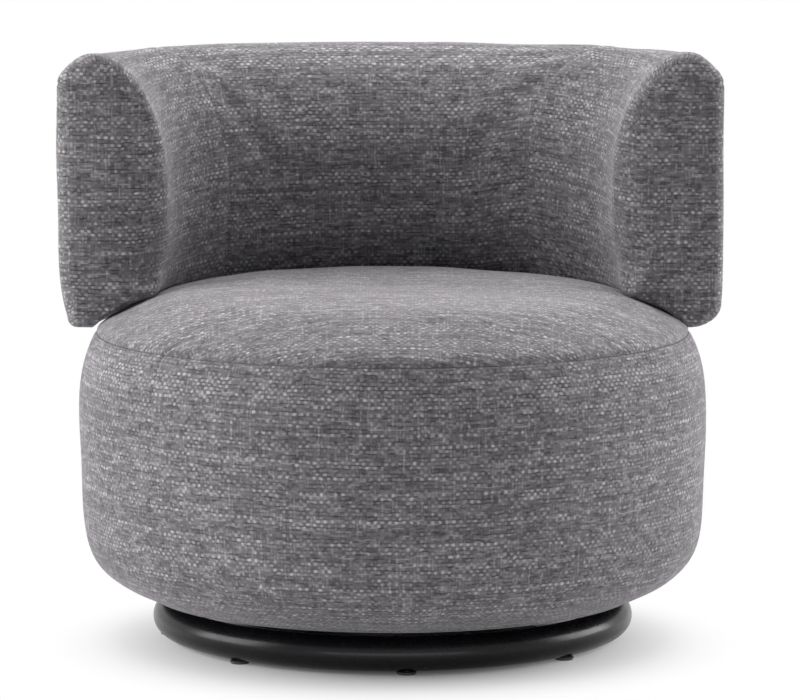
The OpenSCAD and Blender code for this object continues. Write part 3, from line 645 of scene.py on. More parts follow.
def side_cover():
    """Side panel: turned under at the foot, rolled into the seam at the top, with two upright seams."""
    profile, along = side_profile()
    angles = angles_with_seams(TURN_STEP, (SIDE_SEAM, REAR_SEAM))
    turn = np.radians(angles)
    grid = round_axis(profile[:, :1], turn, profile[:, 1:])
    normals = grid_normals(grid, True)
    from_top = along[-1] - along[:, None]
    from_hem = along[:, None]
    held = smooth_step(0, 0.03, from_top) * smooth_step(0, 0.03, from_hem - 0.010)
    push = UNDULATION * soft_waves(grid, 3, 0.11) * held
    push += seam_push(grid, from_top, 11, 0.019, 0.00045, 0.016)
    for seam, depth, short in ((SIDE_SEAM, 0.0018, 0.030), (REAR_SEAM, 0.0014, 0.5)):
        gap = degrees_apart(angles, seam) * math.pi / 180 * DRUM_R
        strong = 0.25 + 0.75 * np.exp(-((from_top / short) ** 2))
        push -= depth * groove(gap, 0.0026) * strong * smooth_step(0.004, 0.02, from_hem)
        push += 0.0006 * groove(gap - 0.010, 0.007) * strong
    coarse_rows = along[np.unique(np.linspace(0, len(along) - 1, COARSE_ROWS).astype(int))]
    coarse_turn = np.arange(0, 360, COARSE_TURN)
    radius = np.interp(coarse_rows, along, profile[:, 0])[:, None]
    height = np.interp(coarse_rows, along, profile[:, 1])[:, None]
    start = round_axis(radius, np.radians(coarse_turn), height)
    start = start + grid_normals(start, True) * (STRAY * soft_waves(start, 21, 0.07)[..., None])
    pinned = np.zeros(start.shape[:2])
    pinned[coarse_rows < 0.03] = 1
    pinned[coarse_rows > along[-1] - 0.004] = 1
    moved = puffed("side_work", start, grid_quads(*start.shape[:2], True), pinned)
    moved = resampled(moved, coarse_rows, coarse_turn, along, angles, 360)
    lift = (moved * normals).sum(-1)
    push += (lift - MEAN_OFF * lift.mean()) * held
    grid = grid + normals * push[..., None]
    grid = chain(grid, tucked(grid[-1:]))
    rows, columns = grid.shape[:2]
    u = turn * DRUM_R
    v = chain(along, [along[-1] + TUCK_UNDER])
    first = nearest(angles, REAR_SEAM)
    second = nearest(angles, SIDE_SEAM)
    column = np.arange(columns)
    ahead = np.append(u[1:], u[0] + 2 * math.pi * DRUM_R)
    other = ((column < first) | (column >= second)) * PANEL_SHIFT
    low = coords(u + other, ahead + other, ahead + other, u + other)
    weave = np.zeros((rows - 1, columns, 4, 2))
    weave[..., 0] = low[None]
    weave[..., 0, 1] = weave[..., 1, 1] = v[:-1, None]
    weave[..., 2, 1] = weave[..., 3, 1] = v[1:, None]
    return new_mesh("side_cover", grid, grid_quads(rows, columns, True).tolist(), weave)


def disc_grid(radii):
    """A square grid bent to a disc. Ring k of the square lies at radii[k] from the middle."""
    last = len(radii) - 1
    steps = np.arange(-last, last + 1)
    i, j = np.meshgrid(steps, steps, indexing="ij")
    ring = np.maximum(np.abs(i), np.abs(j))
    safe = np.maximum(ring, 1)
    share_i = i / safe
    share_j = j / safe
    upright = np.abs(i) >= np.abs(j)
    quarter = math.pi / 4
    angle = np.where(
        upright,
        np.where(i >= 0, share_j * quarter, math.pi - share_j * quarter),
        np.where(j >= 0, 2 * quarter - share_i * quarter, -2 * quarter + share_i * quarter),
    )
    radius = np.asarray(radii)[ring]
    return radius * np.cos(angle), radius * np.sin(angle), radius, ring


def seat_cover():
    """Top panel: domed, rolled down into the seam."""
    profile, along = crown_profile()
    radii = profile[:, 0]
    x, y, radius, ring = disc_grid(radii)
    grid = coords(x, y, profile[ring, 1])
    slope = np.gradient(profile[:, 1], radii)[ring]
    out = coords(x, y) / np.maximum(radius, 1e-9)[..., None]
    normals = unit_rows(coords(-slope * out[..., 0], -slope * out[..., 1], 1))
    from_seam = (along[-1] - along)[ring]
    held = smooth_step(0, 0.045, from_seam)
    push = DOME_UNDULATION * soft_waves(grid, 5, 0.15) * held
    push += seam_push(grid, from_seam, 12, 0.021, 0.0004, 0.018)
    coarse = radii[::2] if len(radii) % 2 else np.append(radii[::2], radii[-1])
    cx, cy, cr, cring = disc_grid(coarse)
    start = coords(cx, cy, crown_height(cr))
    start[..., 2] += 0.0008 * soft_waves(start, 22, 0.09)
    quads = grid_quads(*start.shape[:2])[:, ::-1]
    moved = puffed("seat_work", start, quads, cring >= len(coarse) - 2)
    lift = np.clip(moved[..., 2], -PUFF_CAP, PUFF_CAP)
    steps = np.arange(-(len(coarse) - 1), len(coarse))
    fine = np.arange(-(len(radii) - 1), len(radii))
    place = np.sign(fine) * np.interp(np.abs(radii[np.abs(fine)]), coarse, np.arange(len(coarse)))
    lift = resampled(lift[..., None], steps, steps, place, place)[..., 0]
    push += (lift - MEAN_OFF * lift.mean()) * held
    grid = grid + normals * push[..., None]
    rows = grid.shape[0]
    points = grid.reshape(-1, 3)
    quads = grid_quads(rows, rows)[:, ::-1]
    # The cloth is laid from the middle by its length over the crown, so it isn't drawn out at the rim
    laid = coords(x, y) * (along[ring] / np.maximum(radius, 1e-9))[..., None]
    weave = laid.reshape(-1, 2)[quads] + np.array([0.0011, 0.0007])
    # The rim goes down into the seam
    number = np.arange(rows * rows).reshape(rows, rows)
    rim = chain(number[0, :-1], number[:-1, -1], number[-1, :0:-1], number[:0:-1, 0])
    below = len(points) + np.arange(len(rim))
    ahead = np.roll(rim, -1)
    under = coords(rim, below, np.roll(below, -1), ahead)
    all_points = chain(points, tucked(points[rim]))
    weave = chain(weave, all_points[under][..., :2] * 1.01)
    return new_mesh("seat_cover", all_points, chain(quads, under).tolist(), weave)


# Seams, wing ends, low corners and crest of the backrest
FACE_TOP = BACK_TOP - TOP_DROP
SPREAD = (-0.0055, -0.0035, -0.0022, -0.0011, 0, 0.0011, 0.0022, 0.0035, 0.0055)
OUT_SEAM_Z = FACE_TOP + 0.003
SPINE_U = 0.062
SPINE_LOW = BACK_LOW + 0.055
SPINE_HIGH = BACK_TOP - 0.060
# Low outer corner on each side: its height and width, how far the face leans in, its roundness
CORNER_RIGHT = (0.024, 0.036, 0.0022, 1.11)
CORNER_LEFT = (0.012, 0.022, 0.0102, 1.0)
END_STEPS = (0.0, 0.0003, 0.0011, 0.0024, 0.0040, 0.0060)
END_LAP = 0.0012
LADDER_COLUMNS = 18
END_SEAM_DEPTH = 0.0012
CORNER_SEAM_DEPTH = 0.0009
CORNER_SEAM_HALF = 0.0034
SEAM_RIGHT = 52.0
SEAM_LEFT = 136.0
RISE_SPAN = 0.096
RISE = 0.012
WING_RISE = 0.08
BACK_SHIFT = 0.0027
CREST_LIFT = ((0, 8, 16, 26, 40, 56, 66, 74, 90, 108, 122, 134, 150, 164, 172, 180),
              (0.0078, 0.0070, 0.0042, 0.0020, 0, 0.0012, 0.0020, 0.0014, 0.0028, 0.0030, 0.0024, 0.0006,
               0.0004, 0.0016, 0.0044, 0.0060))
CORNER_ROWS = 7
LEAN_ROWS = 16
FACE_ROWS = 25
TOP_ROWS = 8
CREST_ROWS = 37
TUCK_ROWS = 27
HEEL_ROWS = 5
UNDER_ROWS = 13


# Shape of the backrest
def outer_reach(a):
    return 1 / np.sqrt((np.cos(a) / BACK_X) ** 2 + (np.sin(a) / BACK_Y) ** 2)


def inner_reach(a):
    wide = (np.abs(np.cos(a)) / WING_INNER) ** BAY_POWER
    deep = (np.abs(np.sin(a)) / BACK_INNER) ** BAY_POWER
    return (wide + deep) ** (-1 / BAY_POWER)


def reach_at(a, u):
    return outer_reach(a) - u * (outer_reach(a) - inner_reach(a)) / WING_T


def floor_at(r):
    return np.maximum(BACK_LOW, crown_height(r) + SEAT_GAP)


def top_in(z):
    """How far the outer face has rounded in at a height, below the crest."""
    over = np.clip((z - FACE_TOP) / TOP_DROP, 0, 1)
    return TOP_IN * (1 - np.sqrt(1 - over**2))


def back_section(a):
    """Closed section at an angle: distance in from the outer face, and height.

    It starts at the low outer corner and runs up, over the top, down inside and back under.
    """
    side = np.clip((math.degrees(a) - 30) / 120, 0, 1)
    high, wide, lean_in, power = np.array(CORNER_RIGHT) * (1 - side) + np.array(CORNER_LEFT) * side
    t = np.linspace(0, math.pi / 2, CORNER_ROWS)
    corner_u = wide - (wide - lean_in) * np.sin(t) ** power
    corner_z = BACK_LOW + high - high * np.cos(t) ** power
    lean_z = np.linspace(BACK_LOW + high, LEAN_Z, LEAN_ROWS + 1)[1:]
    lean_u = lean_in * ((LEAN_Z - lean_z) / (LEAN_Z - BACK_LOW - high)) ** LEAN_POWER
    face_z = np.linspace(LEAN_Z, OUT_SEAM_Z - 0.009, FACE_ROWS + 1)[1:]
    seam_z = OUT_SEAM_Z + np.array(SPREAD)
    seam_u = top_in(seam_z)
    t = np.linspace(math.asin((OUT_SEAM_Z + 0.0085 - FACE_TOP) / TOP_DROP), math.pi / 2, TOP_ROWS)
    top_z = FACE_TOP + TOP_DROP * np.sin(t)
    top_u = top_in(top_z)
    t = np.linspace(math.pi / 2, 0, CREST_ROWS + 1)[1:]
    crest_u = TOP_IN + (WING_T - TOP_IN) * np.cos(t)
    crest_z = BULGE_Z + (BACK_TOP - BULGE_Z) * np.sin(t)
    heel_z = floor_at(reach_at(a, WING_T - TUCK_IN))
    tuck_z = np.linspace(BULGE_Z, heel_z + HEEL_R, TUCK_ROWS + 1)[1:]
    tuck_u = WING_T - TUCK_IN * ((BULGE_Z - tuck_z) / (BULGE_Z - BACK_LOW)) ** TUCK_POWER
    # A small round heel, then the underside back to the low corner
    begin = np.array([tuck_u[-1], tuck_z[-1]])
    turn = np.array([tuck_u[-1], heel_z])
    end = np.array([tuck_u[-1] - HEEL_R, floor_at(reach_at(a, tuck_u[-1] - HEEL_R))])
    s = np.linspace(0, 1, HEEL_ROWS + 1)[1:, None]
    heel = begin * (1 - s) ** 2 + turn * 2 * s * (1 - s) + end * s**2
    under_u = np.linspace(end[0], wide, UNDER_ROWS + 2)[1:-1]
    under_z = floor_at(reach_at(a, under_u))
    u = chain(corner_u, lean_u, face_z * 0, seam_u, top_u, crest_u, tuck_u, heel[:, 0], under_u)
    z = chain(corner_z, lean_z, face_z, seam_z, top_z, crest_z, tuck_z, heel[:, 1], under_z)
    return u, z


# Rows at which the section's parts begin
ROW_FACE = CORNER_ROWS
ROW_SEAM = CORNER_ROWS + LEAN_ROWS + FACE_ROWS + len(SPREAD) // 2
ROW_CREST = ROW_SEAM + len(SPREAD) // 2 + 1 + TOP_ROWS
ROW_BULGE = ROW_CREST + CREST_ROWS
ROW_HEEL = ROW_BULGE + TUCK_ROWS
ROW_COUNT = ROW_HEEL + HEEL_ROWS + UNDER_ROWS

# How deep a wing's end is rolled at some rows: low corner, outer face, top, inside, heel, underside
ROLL_ROWS = (0, ROW_FACE, ROW_SEAM, ROW_CREST - 4, ROW_CREST + 8, ROW_CREST + 20, ROW_BULGE - 6,
             ROW_BULGE + 8, ROW_BULGE + 18, ROW_HEEL - 3, ROW_HEEL + 4, ROW_COUNT)
ROLL_RIGHT = (0.012, 0.014, 0.016, 0.018, 0.020, 0.022, 0.034, 0.048, 0.054, 0.036, 0.010, 0.010)
ROLL_LEFT = (0.012, 0.024, 0.024, 0.020, 0.014, 0.013, 0.024, 0.042, 0.054, 0.036, 0.010, 0.010)


def inward(u, z):
    """Directions from a wing section's outline to its upright middle line."""
    middle = coords(SPINE_U, np.clip(z, SPINE_LOW, SPINE_HIGH))
    return unit_rows(middle - coords(u, z))


def back_stations():
    """Angle and push to the front of each station, closer together at the ends and the corner seams."""
    near = np.array([-1.1, -0.7, -0.45, -0.22, 0, 0.22, 0.45, 0.7, 1.1])
    first = np.array([0, 0.35, 0.8, 1.35, 2.0, 2.8, 3.7, 4.7])
    regular = np.linspace(0, 180, 157)
    regular = regular[(regular > 5.3) & (regular < 174.7)]
    for seam in (SEAM_RIGHT, SEAM_LEFT):
        regular = regular[np.abs(regular - seam) > near[-1] + 0.4]
    angles = np.unique(chain(first, regular, SEAM_RIGHT + near, SEAM_LEFT + near, 180 - first))
    pushes = WING_REACH - np.array(END_STEPS)
    angles = chain(0 * pushes, angles, 0 * pushes + 180)
    pushes = chain(pushes, np.zeros(len(angles) - 2 * len(pushes)), pushes[::-1])
    return angles, pushes


def back_grid():
    """Points of the swept backrest, a row for each station, and how far each lies behind the wing ends."""
    angles, pushes = back_stations()
    rows = []
    behind = []
    for angle, forward in zip(angles, pushes):
        nominal = math.radians(angle)
        u, z = back_section(nominal)
        right = np.interp(z, *RIGHT_SEAM)
        left = np.interp(z, *LEFT_SEAM)
        knots = coords(0, right, 90, left, 180)
        a = np.radians(np.array([np.interp(angle, (0, SEAM_RIGHT, 90, SEAM_LEFT, 180), k) for k in knots]))
        s = WING_REACH - forward + reach_at(a, u) * np.sin(a)
        depth = np.interp(np.arange(ROW_COUNT), ROLL_ROWS, ROLL_RIGHT if angle < 90 else ROLL_LEFT)
        depth = np.convolve(chain(depth[-3:], depth, depth[:3]), np.ones(7) / 7, "valid")
        inset = depth * (1 - np.sqrt(1 - np.clip(1 - s / depth, 0, 1) ** 2))
        way = inward(u, z)
        u = u + inset * way[:, 0]
        z = z + inset * way[:, 1]
        # The crest is a little uneven
        high = np.clip((z - BULGE_Z) / (BACK_TOP - BULGE_Z), 0, 1) ** 1.5
        z = z + np.interp(angle, *CREST_LIFT) * high * smooth_step(0.006, 0.036, u)
        r = reach_at(a, u)
        rows.append(coords(r * np.cos(a) - BACK_SHIFT, r * np.sin(a) - forward, z))
        behind.append(s)
    return angles, np.array(rows), np.array(behind)


def back_cover():
    """Backrest: an outside panel, a middle and two wing panels inside, and the two wing end faces."""
    angles, grid, behind = back_grid()
    mid = nearest(angles, 90)
    normals = grid_normals(np.concatenate([grid[:, -1:], grid, grid[:, :1]], axis=1))[:, 1:-1]
    if normals[mid, ROW_FACE + 10, 1] < 0:
        normals = -normals
    v = distance_along(chain(grid[mid], grid[mid, :1]))
    from_out = np.abs(v[:-1] - v[ROW_SEAM])
    rows = np.arange(ROW_COUNT)
    free = smooth_step(0.0, 0.02, from_out) * (rows >= 6) * smooth_step(ROW_HEEL, ROW_HEEL - 8, rows)
    calm = 0.25 + 0.75 * smooth_step(0, 0.035, behind)
    push = 0.0010 * soft_waves(grid, 7, 0.13) * free
    push -= 0.0018 * groove(from_out, 0.0022)
    inside = (rows > ROW_SEAM) & (rows < ROW_HEEL + 4)
    reach = np.linalg.norm(grid[..., :2], axis=-1)
    for seam in (SEAM_RIGHT, SEAM_LEFT):
        gap = np.abs(angles - seam)[:, None] * math.pi / 180 * reach
        only = inside * smooth_step(0, 0.01, from_out)
        push -= CORNER_SEAM_DEPTH * groove(gap, CORNER_SEAM_HALF) * only
        push += 0.0006 * groove(gap - 0.014, 0.010) * only
        # Short pulls that run off the seam
        pull = np.sin(v[:-1] * 2 * math.pi / 0.021 + 1.3 * np.sin(v[:-1] * 31))
        push += 0.00022 * pull * np.exp(-gap / 0.012) * only * (gap > 0.002)
    # The seam round each wing's end shows along its upper inside edge
    upper = inside * smooth_step(BULGE_Z - 0.02, BULGE_Z + 0.05, grid[mid, :, 2])
    push += back_puff(angles, grid, normals, free)
    push = push * calm - END_SEAM_DEPTH * groove(behind - 0.0011, 0.0016) * upper
    grid = grid + normals * push[..., None]
    return back_mesh(angles, grid, v, behind)


def back_puff(angles, grid, normals, free):
    """The lift of the simulated cover over the plain one, for every point."""
    count, length = grid.shape[:2]
    first = len(END_STEPS) + 4
    rows = np.unique(chain(np.arange(first, count - first, 2), [count - 1 - first]))
    columns = np.unique(np.linspace(0, length - 1, length // 2).astype(int))
    flat_normals = normals[rows][:, columns]
    start = grid[rows][:, columns]
    start = start + flat_normals * (STRAY * soft_waves(start, 23, 0.08)[..., None])
    quads = grid_quads(len(rows), len(columns), True)
    pinned = np.zeros(start.shape[:2])
    pinned[0] = pinned[-1] = 1
    for seam in (SEAM_RIGHT, SEAM_LEFT):
        pinned[np.abs(angles[rows] - seam) < 0.6] = columns > ROW_SEAM
    pinned[:, free[columns] < 0.2] = 1
    corners = start.reshape(-1, 3)[quads[5 * len(columns) + 10]]
    if np.dot(np.cross(corners[1] - corners[0], corners[2] - corners[0]), flat_normals[5, 10]) < 0:
        quads = quads[:, ::-1]
    moved = puffed("back_work", start, quads, pinned)
    lift = (moved * flat_normals).sum(-1, keepdims=True)
    lift = resampled(lift, rows, columns, np.arange(count), np.arange(length))[..., 0]
    return (lift - BACK_MEAN_OFF * lift.mean()) * free


def back_mesh(angles, grid, v, behind):
    """Joins the swept grid and the two end faces, with the weave of each panel laid from its middle."""
    count, length = grid.shape[:2]
    rows = np.arange(length)
    plan = distance_along(grid)
    # Over the crest the cloth is laid half-way between the inner and the outer length
    crest = (rows > ROW_SEAM) & (rows < ROW_BULGE)
    plan = np.where(crest, 0.5 * (plan + plan[:, ROW_BULGE : ROW_BULGE + 1]), plan)
    mid, right, left = (nearest(angles, each) for each in (90, SEAM_RIGHT, SEAM_LEFT))
    level = -v[:-1] + v[ROW_BULGE + 12] + grid[mid, ROW_BULGE + 12, 2]
    whole = plan - plan[mid]
    from_left = plan[-1] - plan
    near = smooth_step(RISE_SPAN, 0, whole - whole[right]) * RISE
    outside = coords(whole, v[:-1])
    middle = coords(whole + 0.0012, level - 0.0013 - near)
    panel_right = coords(grid[0, :, 0] - plan, level - WING_RISE * plan)
    panel_left = coords(grid[-1, :, 0] + from_left, level - WING_RISE * from_left)
    planar = grid[..., [0, 2]]
    panels = np.stack([outside, middle, panel_right, panel_left, planar])
    # The panel of each face: 0 outside, 1 middle, 2 right wing, 3 left wing, 4 wing end
    which = np.zeros((count - 1, length), int)
    station = np.arange(count - 1)[:, None]
    in_part = rows >= ROW_SEAM
    which[(station >= right) & (station < left) & in_part] = 1
    which[(station < right) & in_part] = 2
    which[(station >= left) & in_part] = 3
    which[np.minimum(behind[:-1], behind[1:]) < END_LAP] = 4
    i, j = np.meshgrid(np.arange(count - 1), rows, indexing="ij")
    k = (j + 1) % length
    corner_rows = coords(i, i + 1, i + 1, i)
    corner_columns = coords(j, j, k, k)
    quads = (corner_rows * length + corner_columns).reshape(-1, 4)
    weave = panels[which[..., None], corner_rows, corner_columns]
    # The last column wraps round the section, so its far corners go on from the last length
    wraps = (j == length - 1)[..., None] & (corner_columns == 0) & (which != 4)[..., None]
    lap = np.where(which == 0, v[-1], -v[-1])[..., None]
    weave[..., 1] = np.where(wraps, weave[..., 1] + lap, weave[..., 1])
    points = [grid.reshape(-1, 3)]
    faces = [tuple(f) for f in quads.tolist()]
    base = count * length
    for row, flip in ((0, False), (count - 1, True)):
        more, caps = end_ladder(grid[row], row * length, base, flip)
        points.append(more)
        faces += caps
        base += len(more)
    points = np.concatenate(points)
    flat = points[:, [0, 2]]
    caps = [flat[list(f)] for f in faces[len(quads) :]]
    return new_mesh("back_rest", points, faces, np.concatenate([weave.reshape(-1, 2)] + caps))


def end_ladder(ring, first, base, flip):
    """Fills a wing's end with a ladder of faces between its two sides, crowned a little to the front."""
    length = len(ring)
    top = int(np.argmax(ring[:, 2]))
    count = length // 2 + 1
    side_a = [(top + k) % length for k in range(count)]
    side_b = [(top - k) % length for k in range(count)]
    columns = LADDER_COLUMNS
    share = np.linspace(0, 1, columns + 1)[1:-1]
    points = []
    number = np.zeros((count, columns + 1), int)
    for k in range(count):
        number[k, 0] = first + side_a[k]
        number[k, -1] = first + side_b[k]
        if 0 < k < count - 1:
            a, b = ring[side_a[k]], ring[side_b[k]]
            number[k, 1:-1] = base + len(points) + np.arange(columns - 1)
            points += [a + (b - a) * s for s in share]
    points = np.array(points)
    gap = np.sqrt(((points[:, None, [0, 2]] - ring[None, :, [0, 2]]) ** 2).sum(-1)).min(1)
    points[:, 1] -= END_CROWN * (1 - np.exp(-gap / 0.016))
    points[:, 1] -= 0.0005 * soft_waves(points, 31, 0.07) * smooth_step(0, 0.02, gap)
    # The ladder runs to a point at the top, and to its last side step at the foot
    number[0] = number[0, 0]
    number[-1, :-1] = number[-1, 0]
    faces = []
    for above, below in zip(number.tolist(), number[1:].tolist()):
        for c in range(columns):
            face = tuple(dict.fromkeys((above[c], below[c], below[c + 1], above[c + 1])))
            faces.append(face[::-1] if flip else face)
    return points, faces


# Base ring
WELD_AT = 100
WELD_PROUD = 0.0004


def base_ring():
    """Rolled tube with its butt weld dressed smooth, a little proud all round."""
    tube = (RING_HIGH - RING_LOW) / 2
    middle_z = (RING_HIGH + RING_LOW) / 2
    middle_r = RING_OUT - tube
    turn = np.radians(np.arange(0, 360, 1.25))
    round_it = np.radians(np.arange(0, 360, 7.5))
    weld = groove((turn - math.radians(WELD_AT)) * middle_r, 0.004)[:, None]
    radius = tube - WELD_PROUD + weld * WELD_PROUD
    height = middle_z + radius * np.sin(round_it)
    return closed_mesh("ring_tube", round_axis(middle_r + radius * np.cos(round_it), turn[:, None], height))


# Webbing
STRAP_W = 0.050
STRAP_T = 0.0016
STRAP_PITCH = 0.080
STRAP_COUNT = 5
STRAP_GAP = 0.0003
STRAP_FLAT = 0.002
STRAP_RAMP = 0.012
STRAP_LIMIT = 0.276


def strap_mesh(place, number, turned):
    """One strap that goes over and under the others, with rounded edges."""
    half = STRAP_W / 2
    reach = math.sqrt(STRAP_LIMIT**2 - (abs(place) + half) ** 2)
    first = -(STRAP_COUNT - 1) / 2 * STRAP_PITCH
    knots = [(-reach, 0), (first - half - STRAP_RAMP, 0)]
    for k in range(STRAP_COUNT):
        level = STRAP_T + STRAP_GAP if (number + turned + k) % 2 == 0 else 0
        middle = first + k * STRAP_PITCH
        knots += [(middle - half - STRAP_FLAT, level), (middle + half + STRAP_FLAT, level)]
    knots += [(-first + half + STRAP_RAMP, 0), (reach, 0)]
    knots = np.array(knots)
    x = np.arange(-reach, reach, 0.004)
    x = np.append(x[reach - x > 0.001], reach)
    spot = np.clip(np.searchsorted(knots[:, 0], x, side="right") - 1, 0, len(knots) - 2)
    share = (x - knots[spot, 0]) / (knots[spot + 1, 0] - knots[spot, 0])
    share = share * share * (3 - 2 * share)
    level = knots[spot, 1] + (knots[spot + 1, 1] - knots[spot, 1]) * share
    outline = [(-1, 0.5), (-0.985, 0.12), (-0.93, 0), (0, 0), (0.93, 0), (0.985, 0.12),
               (1, 0.5), (0.985, 0.88), (0.93, 1), (0, 1), (-0.93, 1), (-0.985, 0.88)]
    ring = np.array(outline)
    across = ring[:, 0] * half
    height = WEB_LOW + level[:, None] + ring[:, 1] * STRAP_T
    grid = coords(x[:, None], place + across, height)
    if turned:
        grid = coords(-grid[..., 1], grid[..., 0], grid[..., 2])
    rows, columns = grid.shape[:2]
    quads = grid_quads(rows, columns, True)[:, ::-1]
    flat = coords(x[:, None], across).reshape(-1, 2)
    caps = [tuple(range(columns)), tuple(reversed(range((rows - 1) * columns, rows * columns)))]
    faces = [tuple(f) for f in quads.tolist()] + caps
    weave = np.concatenate([flat[list(f)] for f in faces])
    return grid.reshape(-1, 3), faces, weave


def webbing():
    parts = []
    weaves = []
    for turned in (0, 1):
        for number in range(STRAP_COUNT):
            place = (number - (STRAP_COUNT - 1) / 2) * STRAP_PITCH
            points, faces, weave = strap_mesh(place, number, turned)
            parts.append((points, faces))
            weaves.append(weave)
    return new_mesh("webbing_straps", *joined(parts), np.concatenate(weaves))


# Dust cloth
STAPLES = 44
CLOTH_OPEN = 0.1353
CLOTH_OUT = 0.278
CLOTH_T = 0.0008
CLOTH_GAP = 0.0001
CLOTH_SLACK = 0.0011
CLOTH_LOOSE = 0.0010


def cloth_low_side(r, turn):
    """Height of the cloth's upper side: pulled up at the staples, a little slack between them."""
    step_r = HEM_R - 0.002
    lap = smooth_step(step_r - 0.004, HEM_R + 0.001, r)
    level = BOARD_Z - CLOTH_GAP + (DRUM_LOW - BOARD_Z) * lap
    wave = 0.5 - 0.5 * np.cos(turn * STAPLES)
    slack = CLOTH_SLACK * wave * np.exp(-((r - 0.258) / 0.016) ** 2)
    loose = 0.5 + 0.5 * soft_waves(round_axis(r, turn, 0), 41, 0.09)
    slack += CLOTH_LOOSE * loose * smooth_step(CLOTH_OPEN, 0.17, r) * smooth_step(0.26, 0.23, r)
    return level - slack


def dust_cloth():
    radii = chain(np.linspace(CLOTH_OPEN, 0.245, 26), np.linspace(0.245, CLOTH_OUT, 17)[1:])
    turn = np.radians(np.arange(0, 360, 360 / (STAPLES * 8)))
    r, a = np.meshgrid(radii, turn, indexing="ij")
    ragged = 1 + 0.002 * np.sin(a * STAPLES + 0.5) * smooth_step(0.27, CLOTH_OUT, r)
    upper = round_axis(r * ragged, a, cloth_low_side(r, a))
    lower = upper - np.array([0, 0, CLOTH_T])
    return closed_mesh("dust_sheet", chain(upper, lower[::-1]))


STAPLE_HALF = 0.0058
STAPLE_LEG = 0.0030
STAPLE_R = 0.2735
STAPLE_LEAN = 0.25
WIRE = 0.0006


def staple(number):
    """Points and faces of one wire staple."""
    half = STAPLE_HALF
    left = [(-half, STAPLE_LEG), (-half, WIRE), (-half + WIRE, 0)]
    path = left + [(-x, z) for x, z in reversed(left)]
    square = np.array([(-1, -1), (1, -1), (1, 1), (-1, 1)]) * WIRE / 2
    turn = 2 * math.pi * number / STAPLES
    lean = STAPLE_LEAN * math.sin(number * 2.4)
    middle = np.array([STAPLE_R * math.cos(turn), STAPLE_R * math.sin(turn)])
    way = np.array([-math.sin(turn + lean), math.cos(turn + lean)])
    side = np.array([way[1], -way[0]])
    low = DRUM_LOW - CLOTH_T - WIRE / 2 - CLOTH_GAP
    points = []
    faces = []
    for spot, (x, z) in enumerate(path):
        bend = min(1, max(0, (2.5 - abs(spot - 2.5)) / 2))
        for across, up in square:
            out = up * (1 - bend) * (1 if x > 0 else -1)
            flat = middle + way * (x + out) + side * across
            points.append((flat[0], flat[1], low + z + up * bend))
    for row in range(len(path) - 1):
        for c in range(4):
            a, b = row * 4 + c, row * 4 + (c + 1) % 4
            faces.append((a, b, b + 4, a + 4))
    end = (len(path) - 1) * 4
    faces += [(3, 2, 1, 0), (end, end + 1, end + 2, end + 3)]
    return points, faces


def staples():
    """Wire staples through the dust cloth's edge into the board's rim."""
    return new_mesh("cloth_staples", *joined(staple(k) for k in range(STAPLES)), smooth=False)


# Pieces, each on its body
cloth = heather_cloth()
finished(side_cover(), "seat", "cover_fabric", cloth, "drum_cover_side", "side_foam")
finished(seat_cover(), "seat", "cover_fabric", cloth, "drum_cover_top", "seat_foam")
finished(back_cover(), "seat", "cover_fabric", cloth, "back_cover", "back_foam_outer", "back_foam_inner")
# Satin powder coat with a faint orange peel
black = mottled("ring_paint", (0.0050, 0.0048, 0.0062), (0.0085, 0.0082, 0.0102), cloud=(14.0, 3.0),
                gloss=(60.0, 3.0), rough=(0.22, 0.30), grain=(620.0, 0.00006, 0.5), specular=0.23)
finished(base_ring(), "base", "ring_paint", black, "base_ring")
finished(webbing(), "seat", "webbing", strap_cloth(), "seat_webbing")
sheet = finished(dust_cloth(), "seat", "dust_cloth", dust_felt(), "dust_cloth")
zinc = zinc_plate()
finished(staples(), "seat", "zinc", zinc)

# Solids that show as they are: primed plates, moulded glides and so on. base_cross keeps its own paint
plate = mottled("painted_plate", (0.12, 0.124, 0.13), (0.19, 0.196, 0.205), cloud=(25.0, 4.0),
                gloss=(90.0, 3.0), rough=(0.38, 0.55), grain=(480.0, 0.00008, 0.5), spread=(0.35, 0.65))
nylon = mottled("glide_plastic", (0.030, 0.030, 0.031), (0.055, 0.055, 0.057), cloud=(40.0, 3.0),
                gloss=(300.0, 2.0), rough=(0.5, 0.68), grain=(1800.0, 0.00008, 0.6))
race = turned_steel("race_steel", (0.62, 0.63, 0.64), 0.24)
ball = turned_steel("ball_steel", (0.78, 0.79, 0.80), 0.07)
brass = turned_steel("cage_brass", (0.72, 0.53, 0.26), 0.26)
board = plywood("board_plywood", False)
bent = plywood("bent_plywood", True)
CARRIED = (
    (nylon, "floor_glides"),
    (plate, "swivel_lower_plate", "swivel_upper_plate", "back_brackets"),
    (race, "lower_race", "upper_race"),
    (ball, "bearing_balls"),
    (brass, "ball_cage"),
    (board, "bottom_board", "frame_top_ring"),
    (beech(), "frame_posts"),
    (bent, "wall_panel", "back_shell"),
    (zinc, "swivel_base_bolts", "swivel_base_nuts", "swivel_top_bolts", "swivel_tee_nuts", "frame_screws"),
    (zinc, "bracket_bolts", "bracket_tee_nuts", "shell_bolts", "shell_nuts"),
)
for material, *names in CARRIED:
    for name in names:
        mesh = cad_nodes[name].data
        if not mesh.materials:
            mesh.materials.append(material)
        for k in range(len(mesh.materials)):
            mesh.materials[k] = material


# Camera
CAMERA_AT = (0.0103, -5.5, 1.024)
CAMERA_DOWN = 7.183
LENS_MM = 214.6

camera_data = bpy.data.cameras.new("camera")
camera_data.lens = LENS_MM
camera_data.sensor_width = 36
camera_data.clip_end = 60
camera = bpy.data.objects.new("camera", camera_data)
camera.location = CAMERA_AT
camera.rotation_euler = (math.radians(90 - CAMERA_DOWN), 0, 0)
bpy.context.scene.collection.objects.link(camera)
bpy.context.scene.camera = camera


